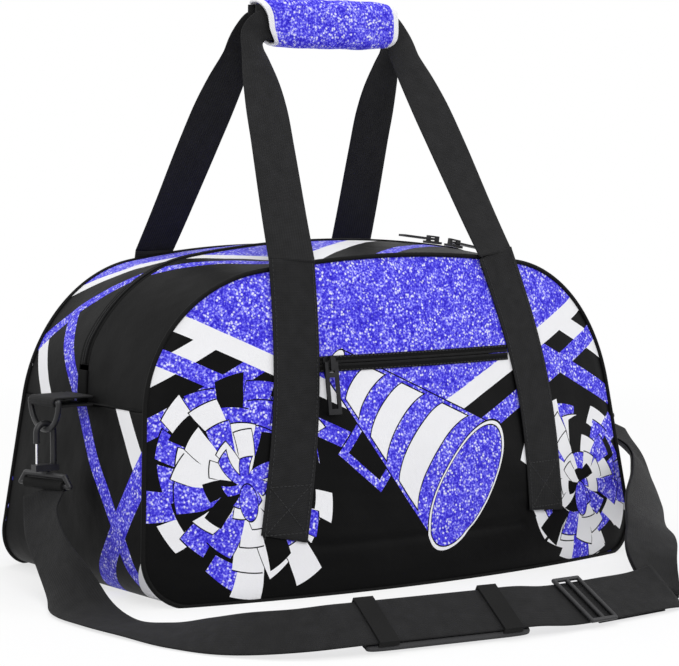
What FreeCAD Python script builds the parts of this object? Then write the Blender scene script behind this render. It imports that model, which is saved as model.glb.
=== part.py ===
import FreeCAD, Part
import math
import os

# Cheer travel duffel bag with carry handles and a clip-on shoulder strap, millimetres.
# Frame: origin at the centre of the flat base, +X to the bag's right end, the front
# panel faces -Y, +Z up.
V = FreeCAD.Vector

# ---- Bag shell -------------------------------------------------------------------
bag_width = 440.0           # between the virtual bottom corners of the end panels
bag_height = 232.0          # top seam of the front and back panels at mid-width
base_depth = 210.0          # depth of the base at its ends
panel_lean = 0.17           # how far each big panel comes in per mm of height
panel_bow = 30.0            # outward bow of the big panels at mid-width, in plan
side_lean_deg = 6.0         # how far the ends lean in
shoulder_radius = 107.0
crown_radius = 790.0
base_corner_radius = 30.0
crown_rise = 7.0            # the main zip runs this much above the panel seams
shell_thickness = 2.0
seam_gap = 0.3
end_seam_height = 130.0     # the end panels stop here and the top gusset begins
board_thickness = 2.5
board_inset = 6.0
slab_margin = 10.0          # the slab that shapes a big panel reaches this far past it

# ---- Main zip --------------------------------------------------------------------
zip_half_width = 6.2
zip_clearance = 0.2
tape_thickness = 0.8
coil_width = 2.4
coil_height = 1.4
rise_run = 45.0             # arc length over which the zip rises above the end seam
zip_end_length = 20.0
zip_end_gap = 6.0
zip_slider_length = 12.0
zip_slider_width = 8.5
zip_slider_thickness = 1.8
zip_slider_gap = 0.35
zip_pull_length = 30.0
zip_pull_width = 8.0
pull_thickness = 1.6
pull_bar = 0.9              # half-width of a pull's bar inside its bridge
pull_eye = 6.6              # from the pivot to the far end of the pull's eye
pull_eye_width = 3.9
left_slider_angle = 7.4     # place of the left zip slider, degrees along the crown arc
slider_pair_gap = 2.0       # between the two parked sliders
bridge_reach = 4.0          # from a saddle's middle to each post of its bridge
bridge_post = 1.2           # half-length of a post along the zip
bridge_width = 3.0
bridge_bite = 0.2           # overlap of a bridge's top with its posts
bridge_sink = 0.5           # depth of the posts in the saddle
main_bridge_tall = 3.2
main_bridge_top = 1.0
main_pivot_height = 1.6     # of the pull's pivot above the saddle
pull_slot_gap = 3.4         # between a pull's eye and its long slot
pull_slot_end = 4.0
pull_rim = 2.7              # material on each side of a pull's slot
coil_lift = 0.02            # between the coil and its tape

# ---- Front pocket ----------------------------------------------------------------
pocket_zip_height = 158.0
pocket_handle_gap = 3.9     # between each end of the pocket zip and the handle beside it
pocket_tape_width = 11.0
pocket_slot_height = 8.0
pocket_coil_width = 3.6
pocket_bottom = 34.0
pocket_depth = 16.0
pocket_half_width = 96.0
lining_thickness = 1.2
pocket_slider_x = -70.0
pocket_slider_length = 10.0
pocket_slider_width = 8.0
pocket_pull_length = 36.0
pocket_pull_width = 10.5
pocket_slot_inset = 2.0     # the slot stops this far inside each end of the zip
pocket_coil_inset = 2.5
pocket_coil_sink = 0.6      # depth of the coil in the slot
pocket_coil_gap = 0.1
pocket_tape_gap = 0.1
pocket_top = 12.0           # of the pouch above the zip
pocket_plate = 1.6
pocket_saddle_gap = 0.55
pocket_bridge_tall = 4.6
pocket_bridge_top = 1.2
pocket_pivot_height = 3.2

# ---- Webbing and carry handles ---------------------------------------------------
webbing_width = 38.0
webbing_thickness = 1.6
handle_bottom_x = 117.0     # handle centre line at its sewn end
handle_bottom_z = 41.0
handle_seam_x = 91.0        # handle centre line where it leaves the panel
handle_leave_z = 229.5
sewn_gap = 0.08             # between the webbing's middle and the bowed panel it is sewn to
leg_start_gap = 0.4         # between a sewn run and its free leg
leg_stand_off = 0.6         # between the leg's lower end and the panel
leg_end_reach = 7.0         # the legs end this far outside the wrap
leg_end_lift = 1.0
leg_belly = 3.0             # the legs stand this far outside a straight line near the top
leg_rise = 0.985            # share of the height that the belly has used
grip_height = 399.0         # centre of the padded wrap
grip_length = 122.0
grip_depth = 26.0
grip_tall = 36.0
grip_web_gap = 0.3
grip_corner = 10.0
grip_web_y = 5.0
grip_web_tall = 26.0
grip_web_reach = 1.6        # the webs stick out of the wrap by this much
flap_thickness = 2.0
flap_tall = 25.0

# ---- Rings, tabs and hooks -------------------------------------------------------
ring_reach = 29.7           # plane of each D-ring beyond its end seam
ring_bar_z = 133.0
ring_radius = 20.0
ring_wire = 2.0
ring_bore_clearance = 0.08
tab_width = 35.0
tab_seat = 0.5              # between the tab and the coil's height over the end seam
tab_lean = 1.0              # the tab's top starts this much further in
hook_inner_radius = 4.4
hook_wire = 2.2
hook_rest_gap = 0.3
hook_length = 22.0          # crook centre to the hook's base
hook_base_height = 4.5
hook_base_depth = 7.0
hook_tip = 7.0
gate_wire = 0.8
gate_gap = 0.4              # at each end of a gate
hook_base_rim = 0.3
swivel_radius = 3.0
swivel_gap = 0.3
loop_drop = 38.0            # ring wire to the web loop's lower bar
loop_side = 5.5             # between the webbing's edge and the middle of the loop's side
loop_wire = 2.0
loop_shoulder = 5.0         # the loop's upper corners are this much further in
stud_length = 2.0
stud_gap = 0.4
loop_clearance = 0.15       # between the loop's bar and the web round it
right_swing_deg = 35.0      # the right hook is drawn this far forward along its ring
right_tilt_deg = 30.0       # and this far outward

# ---- Shoulder strap --------------------------------------------------------------
layer_gap = 0.5
pad_length = 118.0
pad_width = 42.0
pad_thickness = 5.0
pad_gap = 0.6               # between the pad, its keepers and the webbing
keeper_width = 14.0
keeper_thickness = 1.2
keeper_inset = 14.0         # from the pad's ends to the middle of each keeper
keeper_rim = 0.3            # the keepers are this much narrower than the pad on each side
pad_edge_radius = 1.5
strap_slider_gap = 0.3
web_end_gap = 0.3           # between the strap's end and the sleeve round its loop
slider_bar_radius = 1.5
slider_frame_tall = 43.0
slider_frame_length = 26.0

# Strap route: centre point and width direction of each station, from the left web
# loop down to the floor, forward, and along the front on its lower edge. The stations
# suit a bag with these two sizes, and fitted() carries them to any other.
route_ring_x = 236.0
route_front = 135.0
front_route = [
    ((-236.5, 0, 70.9), (0.25, -0.97, 0.00)),
    ((-246, -12, 53), (0.22, -0.85, 0.48)),
    ((-253, -36, 36), (0.15, -0.72, 0.68)),
    ((-259, -66, 21), (0.35, -0.66, 0.66)),
    ((-264, -98, 8), (0.85, -0.45, 0.20)),
    ((-264, -135, 2.5), (0.99, -0.10, 0.00)),
    ((-260, -178, 4), (0.98, 0.10, 0.10)),
    ((-254, -220, 8), (0.88, 0.30, 0.35)),
    ((-240, -256, 12), (0.62, 0.58, 0.52)),
    ((-217, -280, 15), (0.38, 0.76, 0.53)),
    ((-188, -291.5, 17), (0.105, 0.84, 0.53)),
    ((-155, -295.625, 17), (0.105, 0.84, 0.53)),
    ((-122, -299.75, 17), (0.105, 0.84, 0.53)),
    ((-89, -303.875, 17), (0.105, 0.84, 0.53)),
    ((-56, -308, 17), (0.105, 0.84, 0.53)),
    ((-35, -309, 15), (0.00, 0.84, 0.53)),
    ((-8, -306, 14), (-0.10, 0.84, 0.53)),
    ((25, -301, 13.5), (-0.10, 0.84, 0.53)),
    ((58, -297, 13.5), (0.10, 0.84, 0.53)),
    ((77, -294, 14), (0.62, 0.62, 0.48)),
]
# From the diagonal fold back to the right web loop.
right_route = [
    ((77, -287.5, 10.5), (0.66, 0.62, 0.42)),
    ((84, -272, 25), (0.93, 0.05, 0.00)),
    ((112, -240, 38), (0.88, -0.35, -0.30)),
    ((150, -192, 45), (0.72, -0.30, -0.62)),
    ((198, -140, 52), (0.66, -0.10, -0.74)),
    ((238, -87, 62), (0.72, 0.25, -0.60)),
    ((255, -46, 77), (0.78, 0.60, 0.05)),
]
return_start = 16           # the doubled layer starts at this station of the front route


def save(name, shape):
    """Write one sub-part as parts/NAME.step."""
    if not shape.isValid():
        print("invalid", name)
    volume = sum(solid.Volume for solid in shape.Solids)
    print("%-26s solids %d volume %.0f" % (name, len(shape.Solids), volume))
    shape.exportStep("parts/" + name + ".step")


def box(low, high):
    """Axis-aligned box between two corners."""
    size = [b - a for a, b in zip(low, high)]
    return Part.makeBox(size[0], size[1], size[2], V(*low))


def mirror_x(shape):
    """Copy mirrored to the other end of the bag."""
    return shape.mirror(V(0, 0, 0), V(1, 0, 0))


def mirror_y(shape):
    """Copy mirrored from the front to the back."""
    return shape.mirror(V(0, 0, 0), V(0, 1, 0))


def smooth_edge(points, marks):
    """Smooth curve through the points, reaching each one at its mark."""
    curve = Part.BSplineCurve()
    curve.interpolate(Points=points, Parameters=marks)
    return curve.toShape()


def ribbon(first_top, second_top, first_under, second_under):
    """Thin closed solid between four matching long edges."""
    marks = [0.0]
    for index in range(1, len(first_top)):
        step = (first_top[index] - first_top[index - 1]).Length
        step += (second_top[index] - second_top[index - 1]).Length
        marks.append(marks[-1] + step / 2)
    edges = [smooth_edge(points, marks) for points in (first_top, second_top, second_under, first_under)]
    faces = []
    for index in range(4):
        faces.append(Part.makeRuledSurface(edges[index], edges[(index + 1) % 4]))
    for end in (0, -1):
        corners = [first_top[end], second_top[end], second_under[end], first_under[end]]
        low = Part.makeLine(corners[0], corners[1])
        high = Part.makeLine(corners[3], corners[2])
        faces.append(Part.makeRuledSurface(low, high))
    shell = Part.makeShell(faces)
    shell.sewShape()
    solid = Part.makeSolid(Part.Shell(shell.Faces))
    if solid.Volume < 0:
        solid.reverse()
    return solid


# ---- Outline of the big panels ---------------------------------------------------
class Outline:
    """Arch-shaped outline in the XZ plane, walked by arc length from the crown's middle."""

    def __init__(self):
        lean = math.radians(side_lean_deg)
        self.side_angle = math.pi / 2 - lean
        self.normal = (math.cos(lean), math.sin(lean))
        tangent = (-math.sin(lean), math.cos(lean))
        reach = bag_width / 2 * math.cos(lean)
        self.crown_centre = (0.0, bag_height - crown_radius)
        # The shoulder arc touches the side line and the crown arc from inside.
        base = [(reach - shoulder_radius) * part for part in self.normal]
        offset = (base[0], base[1] - self.crown_centre[1])
        along = offset[0] * tangent[0] + offset[1] * tangent[1]
        square = offset[0] ** 2 + offset[1] ** 2
        gap = crown_radius - shoulder_radius
        step = -along + math.sqrt(along ** 2 - square + gap ** 2)
        self.shoulder = (base[0] + step * tangent[0], base[1] + step * tangent[1])
        self.crown_angle = math.atan2(self.shoulder[0], self.shoulder[1] - self.crown_centre[1])
        corner_x = (reach - base_corner_radius - base_corner_radius * self.normal[1]) / self.normal[0]
        self.corner = (corner_x, base_corner_radius)
        self.crown_length = crown_radius * self.crown_angle
        self.shoulder_length = shoulder_radius * (self.side_angle - self.crown_angle)
        top = self._arc(self.shoulder, shoulder_radius, self.side_angle)
        low = self._arc(self.corner, base_corner_radius, self.side_angle)
        self.side_top = top
        self.side_length = math.hypot(low[0] - top[0], low[1] - top[1])
        self.corner_length = base_corner_radius * (math.pi - self.side_angle)

    def _arc(self, centre, radius, angle):
        return (centre[0] + radius * math.sin(angle), centre[1] + radius * math.cos(angle))

    def corner_end(self):
        """Station where the base corner meets the flat bottom."""
        return self.crown_length + self.shoulder_length + self.side_length + self.corner_length

    def station_at_height(self, height):
        """Station on the straight side at a height."""
        drop = (self.side_top[1] - height) / math.cos(math.radians(side_lean_deg))
        return self.crown_length + self.shoulder_length + drop

    def at(self, station, offset=0.0):
        """Point of the outline pushed outward by the offset, as (x, z)."""
        side = -1.0 if station < 0 else 1.0
        run = abs(station)
        if run <= self.crown_length:
            point = self._arc(self.crown_centre, crown_radius + offset, run / crown_radius)
            return (side * point[0], point[1])
        run -= self.crown_length
        if run <= self.shoulder_length:
            angle = self.crown_angle + run / shoulder_radius
            point = self._arc(self.shoulder, shoulder_radius + offset, angle)
            return (side * point[0], point[1])
        run -= self.shoulder_length
        if run <= self.side_length:
            x = self.side_top[0] + run * self.normal[1] + offset * self.normal[0]
            z = self.side_top[1] - run * self.normal[0] + offset * self.normal[1]
            return (side * x, z)
        run -= self.side_length
        if run <= self.corner_length:
            angle = self.side_angle + run / base_corner_radius
            point = self._arc(self.corner, base_corner_radius + offset, angle)
            return (side * point[0], point[1])
        run -= self.corner_length
        return (side * (self.corner[0] - run), -offset)

    def face(self):
        """The whole outline as a face at y = 0, with true arcs."""
        marks = [0.0, self.crown_length, self.crown_length + self.shoulder_length]
        marks.append(marks[-1] + self.side_length)
        marks.append(marks[-1] + self.corner_length)
        edges = []
        for side in (1.0, -1.0):
            points = [self._lift(side, mark) for mark in marks]
            middles = [self._lift(side, (a + b) / 2) for a, b in zip(marks, marks[1:])]
            edges.append(Part.Arc(points[0], middles[0], points[1]).toShape())
            edges.append(Part.Arc(points[1], middles[1], points[2]).toShape())
            edges.append(Part.makeLine(points[2], points[3]))
            edges.append(Part.Arc(points[3], middles[3], points[4]).toShape())
        edges.append(Part.makeLine(self._lift(1.0, marks[-1]), self._lift(-1.0, marks[-1])))
        return Part.Face(Part.Wire(Part.sortEdges(edges)[0]))

    def _lift(self, side, station):
        point = self.at(station)
        return V(side * point[0], 0, point[1])


outline = Outline()
seam_station = outline.station_at_height(end_seam_height)


bow_radius = (bag_width ** 2 / 4 + panel_bow ** 2) / (2 * panel_bow)


def bow_at(x):
    """Outward bow of a big panel at x, an arc in plan through its ends."""
    return math.sqrt(bow_radius ** 2 - x ** 2) - (bow_radius - panel_bow)


def panel_y(x, z):
    """Distance of a big panel's outer face from the middle plane."""
    return base_depth / 2 - panel_lean * z + bow_at(x)


def rise_at(station):
    """How far the main zip stands above the panel outline at a station."""
    share = min(1.0, max(0.0, (seam_station - abs(station)) / rise_run))
    return crown_rise * share * share * (3 - 2 * share)


def spread(first, last, count):
    """Evenly spaced values from first to last."""
    return [first + (last - first) * step / (count - 1) for step in range(count)]


def handle_x(z):
    """Centre line of a sewn handle run."""
    share = (z - handle_bottom_z) / (handle_leave_z - handle_bottom_z)
    return handle_bottom_x + (handle_seam_x - handle_bottom_x) * share


pocket_zip_half_length = handle_x(pocket_zip_height) - webbing_width / 2 - pocket_handle_gap


# ---- Shell -----------------------------------------------------------------------
def front_slab(depth, thickness):
    """Bowed, leaning slab behind the front face, from a depth inward."""
    reach = bag_width / 2 + slab_margin
    low = -slab_margin
    rows = []
    for inset in (depth, depth + thickness):
        row = [V(x, inset - panel_y(x, low), low) for x in (-reach, 0.0, reach)]
        rows.append(row)
    edges = [
        Part.Arc(*rows[0]).toShape(),
        Part.makeLine(rows[0][2], rows[1][2]),
        Part.Arc(*rows[1]).toShape(),
        Part.makeLine(rows[1][0], rows[0][0]),
    ]
    face = Part.Face(Part.Wire(Part.sortEdges(edges)[0]))
    tall = bag_height + 3 * slab_margin
    return face.extrude(V(0, panel_lean * tall, tall))


def front_blank():
    """Front panel without its pocket slot."""
    prism = outline.face().extrude(V(0, -base_depth, 0))
    return prism.common(front_slab(0.0, shell_thickness))


def front_panel():
    """Front panel with the slot under the pocket zip."""
    half = pocket_slot_height / 2
    length = pocket_zip_half_length - pocket_slot_inset
    slot = box((-length, -base_depth, pocket_zip_height - half), (length, 0, pocket_zip_height + half))
    return front_blank().cut(slot)


def band(stations, thickness):
    """Shell band that follows the outline from panel to panel."""
    edges = [[], [], [], []]
    for station in stations:
        for level, offset in ((0, 0.0), (2, -thickness)):
            x, z = outline.at(station, offset)
            half = panel_y(x, z) - shell_thickness - seam_gap
            edges[level].append(V(x, -half, z))
            edges[level + 1].append(V(x, half, z))
    return ribbon(edges[0], edges[1], edges[2], edges[3])


def end_panel():
    """Right end panel with the rounded base corner."""
    corner_start = outline.corner_end() - outline.corner_length
    stations = spread(seam_station, corner_start, 8)[:-1] + spread(corner_start, outline.corner_end(), 12)
    return band(stations, shell_thickness)


def flat_sheet(half_length, level, thickness, inset):
    """Level sheet between the big panels, with two curved sides."""
    stations = spread(-half_length, half_length, 15)
    edges = []
    for side in (-1.0, 1.0):
        row = [V(x, side * (panel_y(x, level + thickness) - inset), level) for x in stations]
        edges.append(smooth_edge(row, stations))
    for x in (-half_length, half_length):
        half = panel_y(x, level + thickness) - inset
        edges.append(Part.makeLine(V(x, -half, level), V(x, half, level)))
    return Part.Face(Part.Wire(Part.sortEdges(edges)[0])).extrude(V(0, 0, thickness))


def bottom_panel():
    """Flat bottom between the two base corners."""
    return flat_sheet(outline.corner[0] - seam_gap, 0.0, shell_thickness, shell_thickness + seam_gap)


def base_board():
    """Stiff board that lies loose on the bottom."""
    level = shell_thickness + seam_gap
    return flat_sheet(outline.corner[0] - board_inset, level, board_thickness, level + board_inset)


def strip(stations, near_y, far_y, low, high):
    """Strip along the zip line between two distances in front of the middle plane."""
    edges = []
    for y, offset in ((far_y, high), (near_y, high), (far_y, low), (near_y, low)):
        row = []
        for station in stations:
            x, z = outline.at(station, rise_at(station) + offset)
            row.append(V(x, -y, z))
        edges.append(row)
    return ribbon(edges[0], edges[1], edges[2], edges[3])


def gusset_front():
    """Front half of the top gusset, from the panel seam up to the main zip."""
    stations = spread(-seam_station + seam_gap, seam_station - seam_gap, 61)
    edges = [[], [], [], []]
    for station in stations:
        for level, offset in ((0, 0.0), (2, -shell_thickness)):
            x, z = outline.at(station, offset)
            edges[level].append(V(x, -(panel_y(x, z) - shell_thickness - seam_gap), z))
            x, z = outline.at(station, rise_at(station) + offset)
            edges[level + 1].append(V(x, -(zip_half_width + seam_gap), z))
    return ribbon(edges[0], edges[1], edges[2], edges[3])


def zip_stations():
    """Stations of the moving part of the main zip."""
    end = seam_station - zip_end_length - zip_end_gap
    return spread(-end, end, 61)


def zip_tape_front():
    """Front half of the main zip's tape."""
    return strip(zip_stations(), zip_clearance, zip_half_width, -tape_thickness, 0.0)


def zip_coil_front():
    """Front half of the main zip's coil, on top of the tape."""
    return strip(zip_stations(), zip_clearance, zip_clearance + coil_width, coil_lift, coil_height)


def zip_end():
    """Fabric tab that closes the right end of the main zip."""
    stations = spread(seam_station - zip_end_length, seam_station - seam_gap, 7)
    return strip(stations, -zip_half_width, zip_half_width, -tape_thickness, coil_height)


# ---- Main zip sliders ------------------------------------------------------------
def right_slider_angle():
    """Place of the right slider, degrees from +Z round the shoulder's centre."""
    used = (math.radians(left_slider_angle) * crown_radius + zip_slider_length + slider_pair_gap)
    past_crown = max(used - outline.crown_length, zip_slider_length / 2)
    return math.degrees(outline.crown_angle + past_crown / shoulder_radius)


def arc_plate(centre, low, high, width, first_deg, last_deg):
    """Plate bent round an arc centre in XZ, between two radii and two angles from +Z."""
    first = math.radians(first_deg)
    last = math.radians(last_deg)
    middle = (first + last) / 2

    def point(radius, angle):
        return V(centre[0] + radius * math.sin(angle), -width / 2, centre[1] + radius * math.cos(angle))

    edges = [
        Part.Arc(point(high, first), point(high, middle), point(high, last)).toShape(),
        Part.makeLine(point(high, last), point(low, last)),
        Part.Arc(point(low, last), point(low, middle), point(low, first)).toShape(),
        Part.makeLine(point(low, first), point(high, first)),
    ]
    return Part.Face(Part.Wire(edges)).extrude(V(0, width, 0))


def main_slider(centre, arc_radius, angle_deg, pull_side):
    """Saddle of a zip slider with its bridge, and the pull that hangs in the bridge."""
    coil_top = arc_radius + crown_rise + coil_height
    low = coil_top + zip_slider_gap
    half = math.degrees(zip_slider_length / 2 / low)
    plate = arc_plate(centre, low, low + zip_slider_thickness, zip_slider_width, angle_deg - half, angle_deg + half)
    angle = math.radians(angle_deg)
    out = V(math.sin(angle), 0, math.cos(angle))
    along = V(math.cos(angle), 0, -math.sin(angle)) * pull_side
    origin = V(centre[0], 0, centre[1]) + out * (low + zip_slider_thickness)
    bridge = arch(origin, along, out, main_bridge_tall, main_bridge_top)
    saddle = plate.fuse(bridge).removeSplitter()
    pivot = origin + out * main_pivot_height
    pull = pull_plate(pivot, along, out, zip_pull_length, zip_pull_width)
    return saddle, pull, pivot


def arch(origin, along, out, tall, top):
    """Bridge of a saddle: two posts and the bar that joins their tops."""
    reach = bridge_reach + bridge_post
    shape = oriented_box(origin, along, out, reach, bridge_width, tall - bridge_bite, tall + top)
    for shift in (-bridge_reach, bridge_reach):
        post = oriented_box(origin + along * shift, along, out, bridge_post, bridge_width, -bridge_sink, tall)
        shape = shape.fuse(post)
    return shape


def oriented_box(origin, along, out, half_length, width, low, high):
    """Box with its length along one direction and its height along another."""
    across = out.cross(along)
    corner = origin - along * half_length - across * (width / 2) + out * low
    face = Part.makePolygon([
        corner,
        corner + along * (2 * half_length),
        corner + along * (2 * half_length) + across * width,
        corner + across * width,
        corner,
    ])
    return Part.Face(face).extrude(out * (high - low))


def pull_plate(pivot, along, out, length, width):
    """Flat pull with a square eye round the bridge, lying along the zip."""
    half = (length + pull_bar) / 2
    plate = oriented_box(pivot + along * (half - pull_bar), along, out, half, width, -pull_thickness / 2,
                         pull_thickness / 2)
    eye = oriented_box(pivot + along * (pull_bar + pull_eye) / 2, along, out, (pull_eye - pull_bar) / 2, pull_eye_width,
                       -pull_thickness, pull_thickness)
    slot_start = pull_eye + pull_slot_gap
    slot_end = length - pull_slot_end
    slot = oriented_box(pivot + along * (slot_start + slot_end) / 2, along, out, (slot_end - slot_start) / 2,
                        width - 2 * pull_rim, -pull_thickness, pull_thickness)
    return plate.cut(eye).cut(slot)


# ---- Front pocket ----------------------------------------------------------------
def on_front(x, z, out):
    """Point at a distance in front of the front panel."""
    return V(x, -panel_y(x, z) - out, z)


def front_strip(low_z, high_z, half_length, low_out, high_out):
    """Strip across the front panel at a constant height."""
    stations = spread(-half_length, half_length, 13)
    rows = []
    for z, out in ((low_z, high_out), (high_z, high_out), (low_z, low_out), (high_z, low_out)):
        rows.append([on_front(x, z, out) for x in stations])
    return ribbon(rows[0], rows[1], rows[2], rows[3])


def pocket_tape():
    """Upper and lower halves of the pocket zip's tape."""
    half = pocket_tape_width / 2
    inner = pocket_coil_width / 2 + pocket_coil_gap
    parts = []
    for low, high in ((-half, -inner), (inner, half)):
        parts.append(front_strip(pocket_zip_height + low, pocket_zip_height + high,
                                 pocket_zip_half_length, pocket_tape_gap, pocket_tape_gap + tape_thickness))
    return Part.makeCompound(parts)


def pocket_coil():
    """Closed coil between the two tape halves."""
    half = pocket_coil_width / 2
    return front_strip(pocket_zip_height - half, pocket_zip_height + half,
                       pocket_zip_half_length - pocket_coil_inset, -pocket_coil_sink, coil_height)


def pocket_lining():
    """Pouch behind the front panel, open towards it."""
    front = shell_thickness + seam_gap
    top = pocket_zip_height + pocket_top
    wall = lining_thickness
    outer = box((-pocket_half_width, -base_depth, pocket_bottom), (pocket_half_width, 0, top))
    inner = box((wall - pocket_half_width, -base_depth, pocket_bottom + wall),
                (pocket_half_width - wall, 0, top - wall))
    return outer.common(front_slab(front, pocket_depth)).cut(inner.common(front_slab(front, pocket_depth - wall)))


def pocket_slider():
    """Saddle and long pull of the pocket zip, and the pull's pivot."""
    anchor = on_front(pocket_slider_x, pocket_zip_height, 0.0)
    turn = math.asin(pocket_slider_x / bow_radius)
    lean = math.atan(panel_lean)
    along = V(0, -math.sin(lean), -math.cos(lean))
    across = V(math.cos(turn), math.sin(turn), 0)
    out = along.cross(across).normalize()
    along = across.cross(out).normalize()
    low = coil_height + pocket_saddle_gap
    plate = oriented_box(anchor, across, out, pocket_slider_length / 2, pocket_slider_width, low, low + pocket_plate)
    bridge = arch(anchor + out * (low + pocket_plate), along, out, pocket_bridge_tall - pocket_plate, pocket_bridge_top)
    pivot = anchor + out * (low + pocket_pivot_height)
    pull = pull_plate(pivot, along, out, pocket_pull_length, pocket_pull_width)
    return plate.fuse(bridge).removeSplitter(), pull, pivot


# ---- Carry handles ---------------------------------------------------------------
def sewn_run():
    """Webbing sewn up the front panel, right-hand run."""
    heights = spread(handle_bottom_z, handle_leave_z, 13)
    half = webbing_width / 2
    rows = []
    low = sewn_gap + webbing_width ** 2 / (8 * bow_radius)
    top = low + webbing_thickness
    for side, out in ((-1, top), (1, top), (-1, low), (1, low)):
        rows.append([on_front(handle_x(z) + side * half, z, out) for z in heights])
    return ribbon(rows[0], rows[1], rows[2], rows[3])


def webbing(route, lift=0.0, first=0):
    """Webbing along stations of centre and width direction, lifted along its normal."""
    half_width = webbing_width / 2
    centres = [V(*centre) for centre, width in route]
    rows = [[], [], [], []]
    for index, (centre, width) in enumerate(route):
        before = centres[max(index - 1, 0)]
        after = centres[min(index + 1, len(route) - 1)]
        tangent = (after - before).normalize()
        side = V(*width).normalize()
        normal = tangent.cross(side).normalize()
        middle = centres[index] + normal * lift
        for row, (edge, face) in enumerate(((-1, 1), (1, 1), (-1, -1), (1, -1))):
            rows[row].append(middle + side * (edge * half_width) + normal * (face * webbing_thickness / 2))
    return ribbon(*[row[first:] for row in rows])


def leg_route():
    """Free handle leg from the panel's top to the wrap, right-hand front leg."""
    start_z = handle_leave_z + leg_start_gap
    x = handle_seam_x
    y = -(panel_y(x, start_z) + leg_stand_off + webbing_thickness / 2)
    end = V(grip_length / 2 + leg_end_reach, -grip_web_y - leg_end_lift, grip_height)
    rise = end.z - start_z
    slope = x / bow_radius
    turn = ((0.0, slope, 0.0), (0.25, slope / 2, 0.0), (0.5, 0.0, 0.02), (0.7, 0.0, 0.08), (0.86, 0.0, 0.44))
    route = []
    for share, deep, tall in turn:
        centre = (x + (end.x + leg_belly - x) * share, y + (end.y - y) * share, start_z + rise * share * leg_rise)
        route.append((centre, (1.0, deep, tall)))
    route.append(((end.x, end.y, end.z), (0.35, 0.0, 0.94)))
    return route


def narrow_leg():
    """Free handle leg whose webbing gathers towards the wrap."""
    route = leg_route()
    centres = [V(*centre) for centre, width in route]
    gathers = (0.0, 0.0, 0.0, 1 / 6, 7 / 12, 1.0)
    rows = [[], [], [], []]
    slope = (centres[-1] - centres[0]).normalize()
    normal = V(1, 0, 0).cross(slope).normalize()
    for centre, (place, width), gather in zip(centres, route, gathers):
        side = V(*width).normalize()
        half = (webbing_width + (grip_web_tall - webbing_width) * gather) / 2
        for row, (edge, face) in enumerate(((-1, 1), (1, 1), (-1, -1), (1, -1))):
            rows[row].append(centre + side * (edge * half) + normal * (face * webbing_thickness / 2))
    return ribbon(rows[0], rows[1], rows[2], rows[3])


def grip_web():
    """Front handle's webbing inside the wrap."""
    half = grip_length / 2 + grip_web_reach
    low = grip_height - grip_web_tall / 2
    y = grip_web_y + webbing_thickness / 2
    return box((-half, -y, low), (half, webbing_thickness - y, low + grip_web_tall))


def grip_wrap():
    """Padded wrap round both handles."""
    half = grip_length / 2
    low = grip_height - grip_tall / 2
    outer = box((-half, -grip_depth / 2, low), (half, grip_depth / 2, low + grip_tall))
    edges = [edge for edge in outer.Edges if abs(edge.tangentAt(edge.FirstParameter).x) > 0.9]
    outer = outer.makeFillet(grip_corner, edges)
    reach = half + 1.0
    thick = webbing_thickness / 2 + grip_web_gap
    tall = grip_web_tall / 2 + grip_web_gap
    for y in (-grip_web_y, grip_web_y):
        outer = outer.cut(box((-reach, y - thick, grip_height - tall), (reach, y + thick, grip_height + tall)))
    return outer


def wrap_flap():
    """Hook-and-loop flap that closes the wrap at the back."""
    half = grip_length / 2
    y = grip_depth / 2 + seam_gap
    low = grip_height - flap_tall / 2
    plate = box((-half, y, low), (half, y + flap_thickness, low + flap_tall))
    return plate


# ---- Rings, tabs and hooks -------------------------------------------------------
def d_ring(x):
    """D-ring in a plane of constant x: straight bar on top, half circle below."""
    bar = Part.makeCylinder(ring_wire, 2 * ring_radius, V(x, -ring_radius, ring_bar_z), V(0, 1, 0))
    arc = Part.makeTorus(ring_radius, ring_wire, V(x, 0, ring_bar_z), V(1, 0, 0))
    reach = ring_radius + 2 * ring_wire
    keep = box((x - 2 * ring_wire, -reach, ring_bar_z - reach), (x + 2 * ring_wire, reach, ring_bar_z))
    ring = bar.fuse(arc.common(keep))
    for y in (-ring_radius, ring_radius):
        ring = ring.fuse(Part.makeSphere(ring_wire, V(x, y, ring_bar_z)))
    return ring


def web_tab():
    """Webbing tab at the right end that holds the ring's bar."""
    radius = ring_wire + ring_bore_clearance + webbing_thickness
    seam_x = outline.at(seam_station)[0] + coil_height + tab_seat
    points = [V(seam_x, -tab_width / 2, ring_bar_z - radius), V(ring_x, -tab_width / 2, ring_bar_z - radius),
              V(ring_x, -tab_width / 2, ring_bar_z + radius), V(seam_x - tab_lean, -tab_width / 2, ring_bar_z + radius)]
    block = Part.Face(Part.makePolygon(points + points[:1])).extrude(V(0, tab_width, 0))
    round_end = Part.makeCylinder(radius, tab_width, V(ring_x, -tab_width / 2, ring_bar_z), V(0, 1, 0))
    bore = Part.makeCylinder(ring_wire + ring_bore_clearance, tab_width + 2, V(ring_x, -tab_width / 2 - 1, ring_bar_z),
                             V(0, 1, 0))
    return block.fuse(round_end).cut(bore).removeSplitter()


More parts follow.
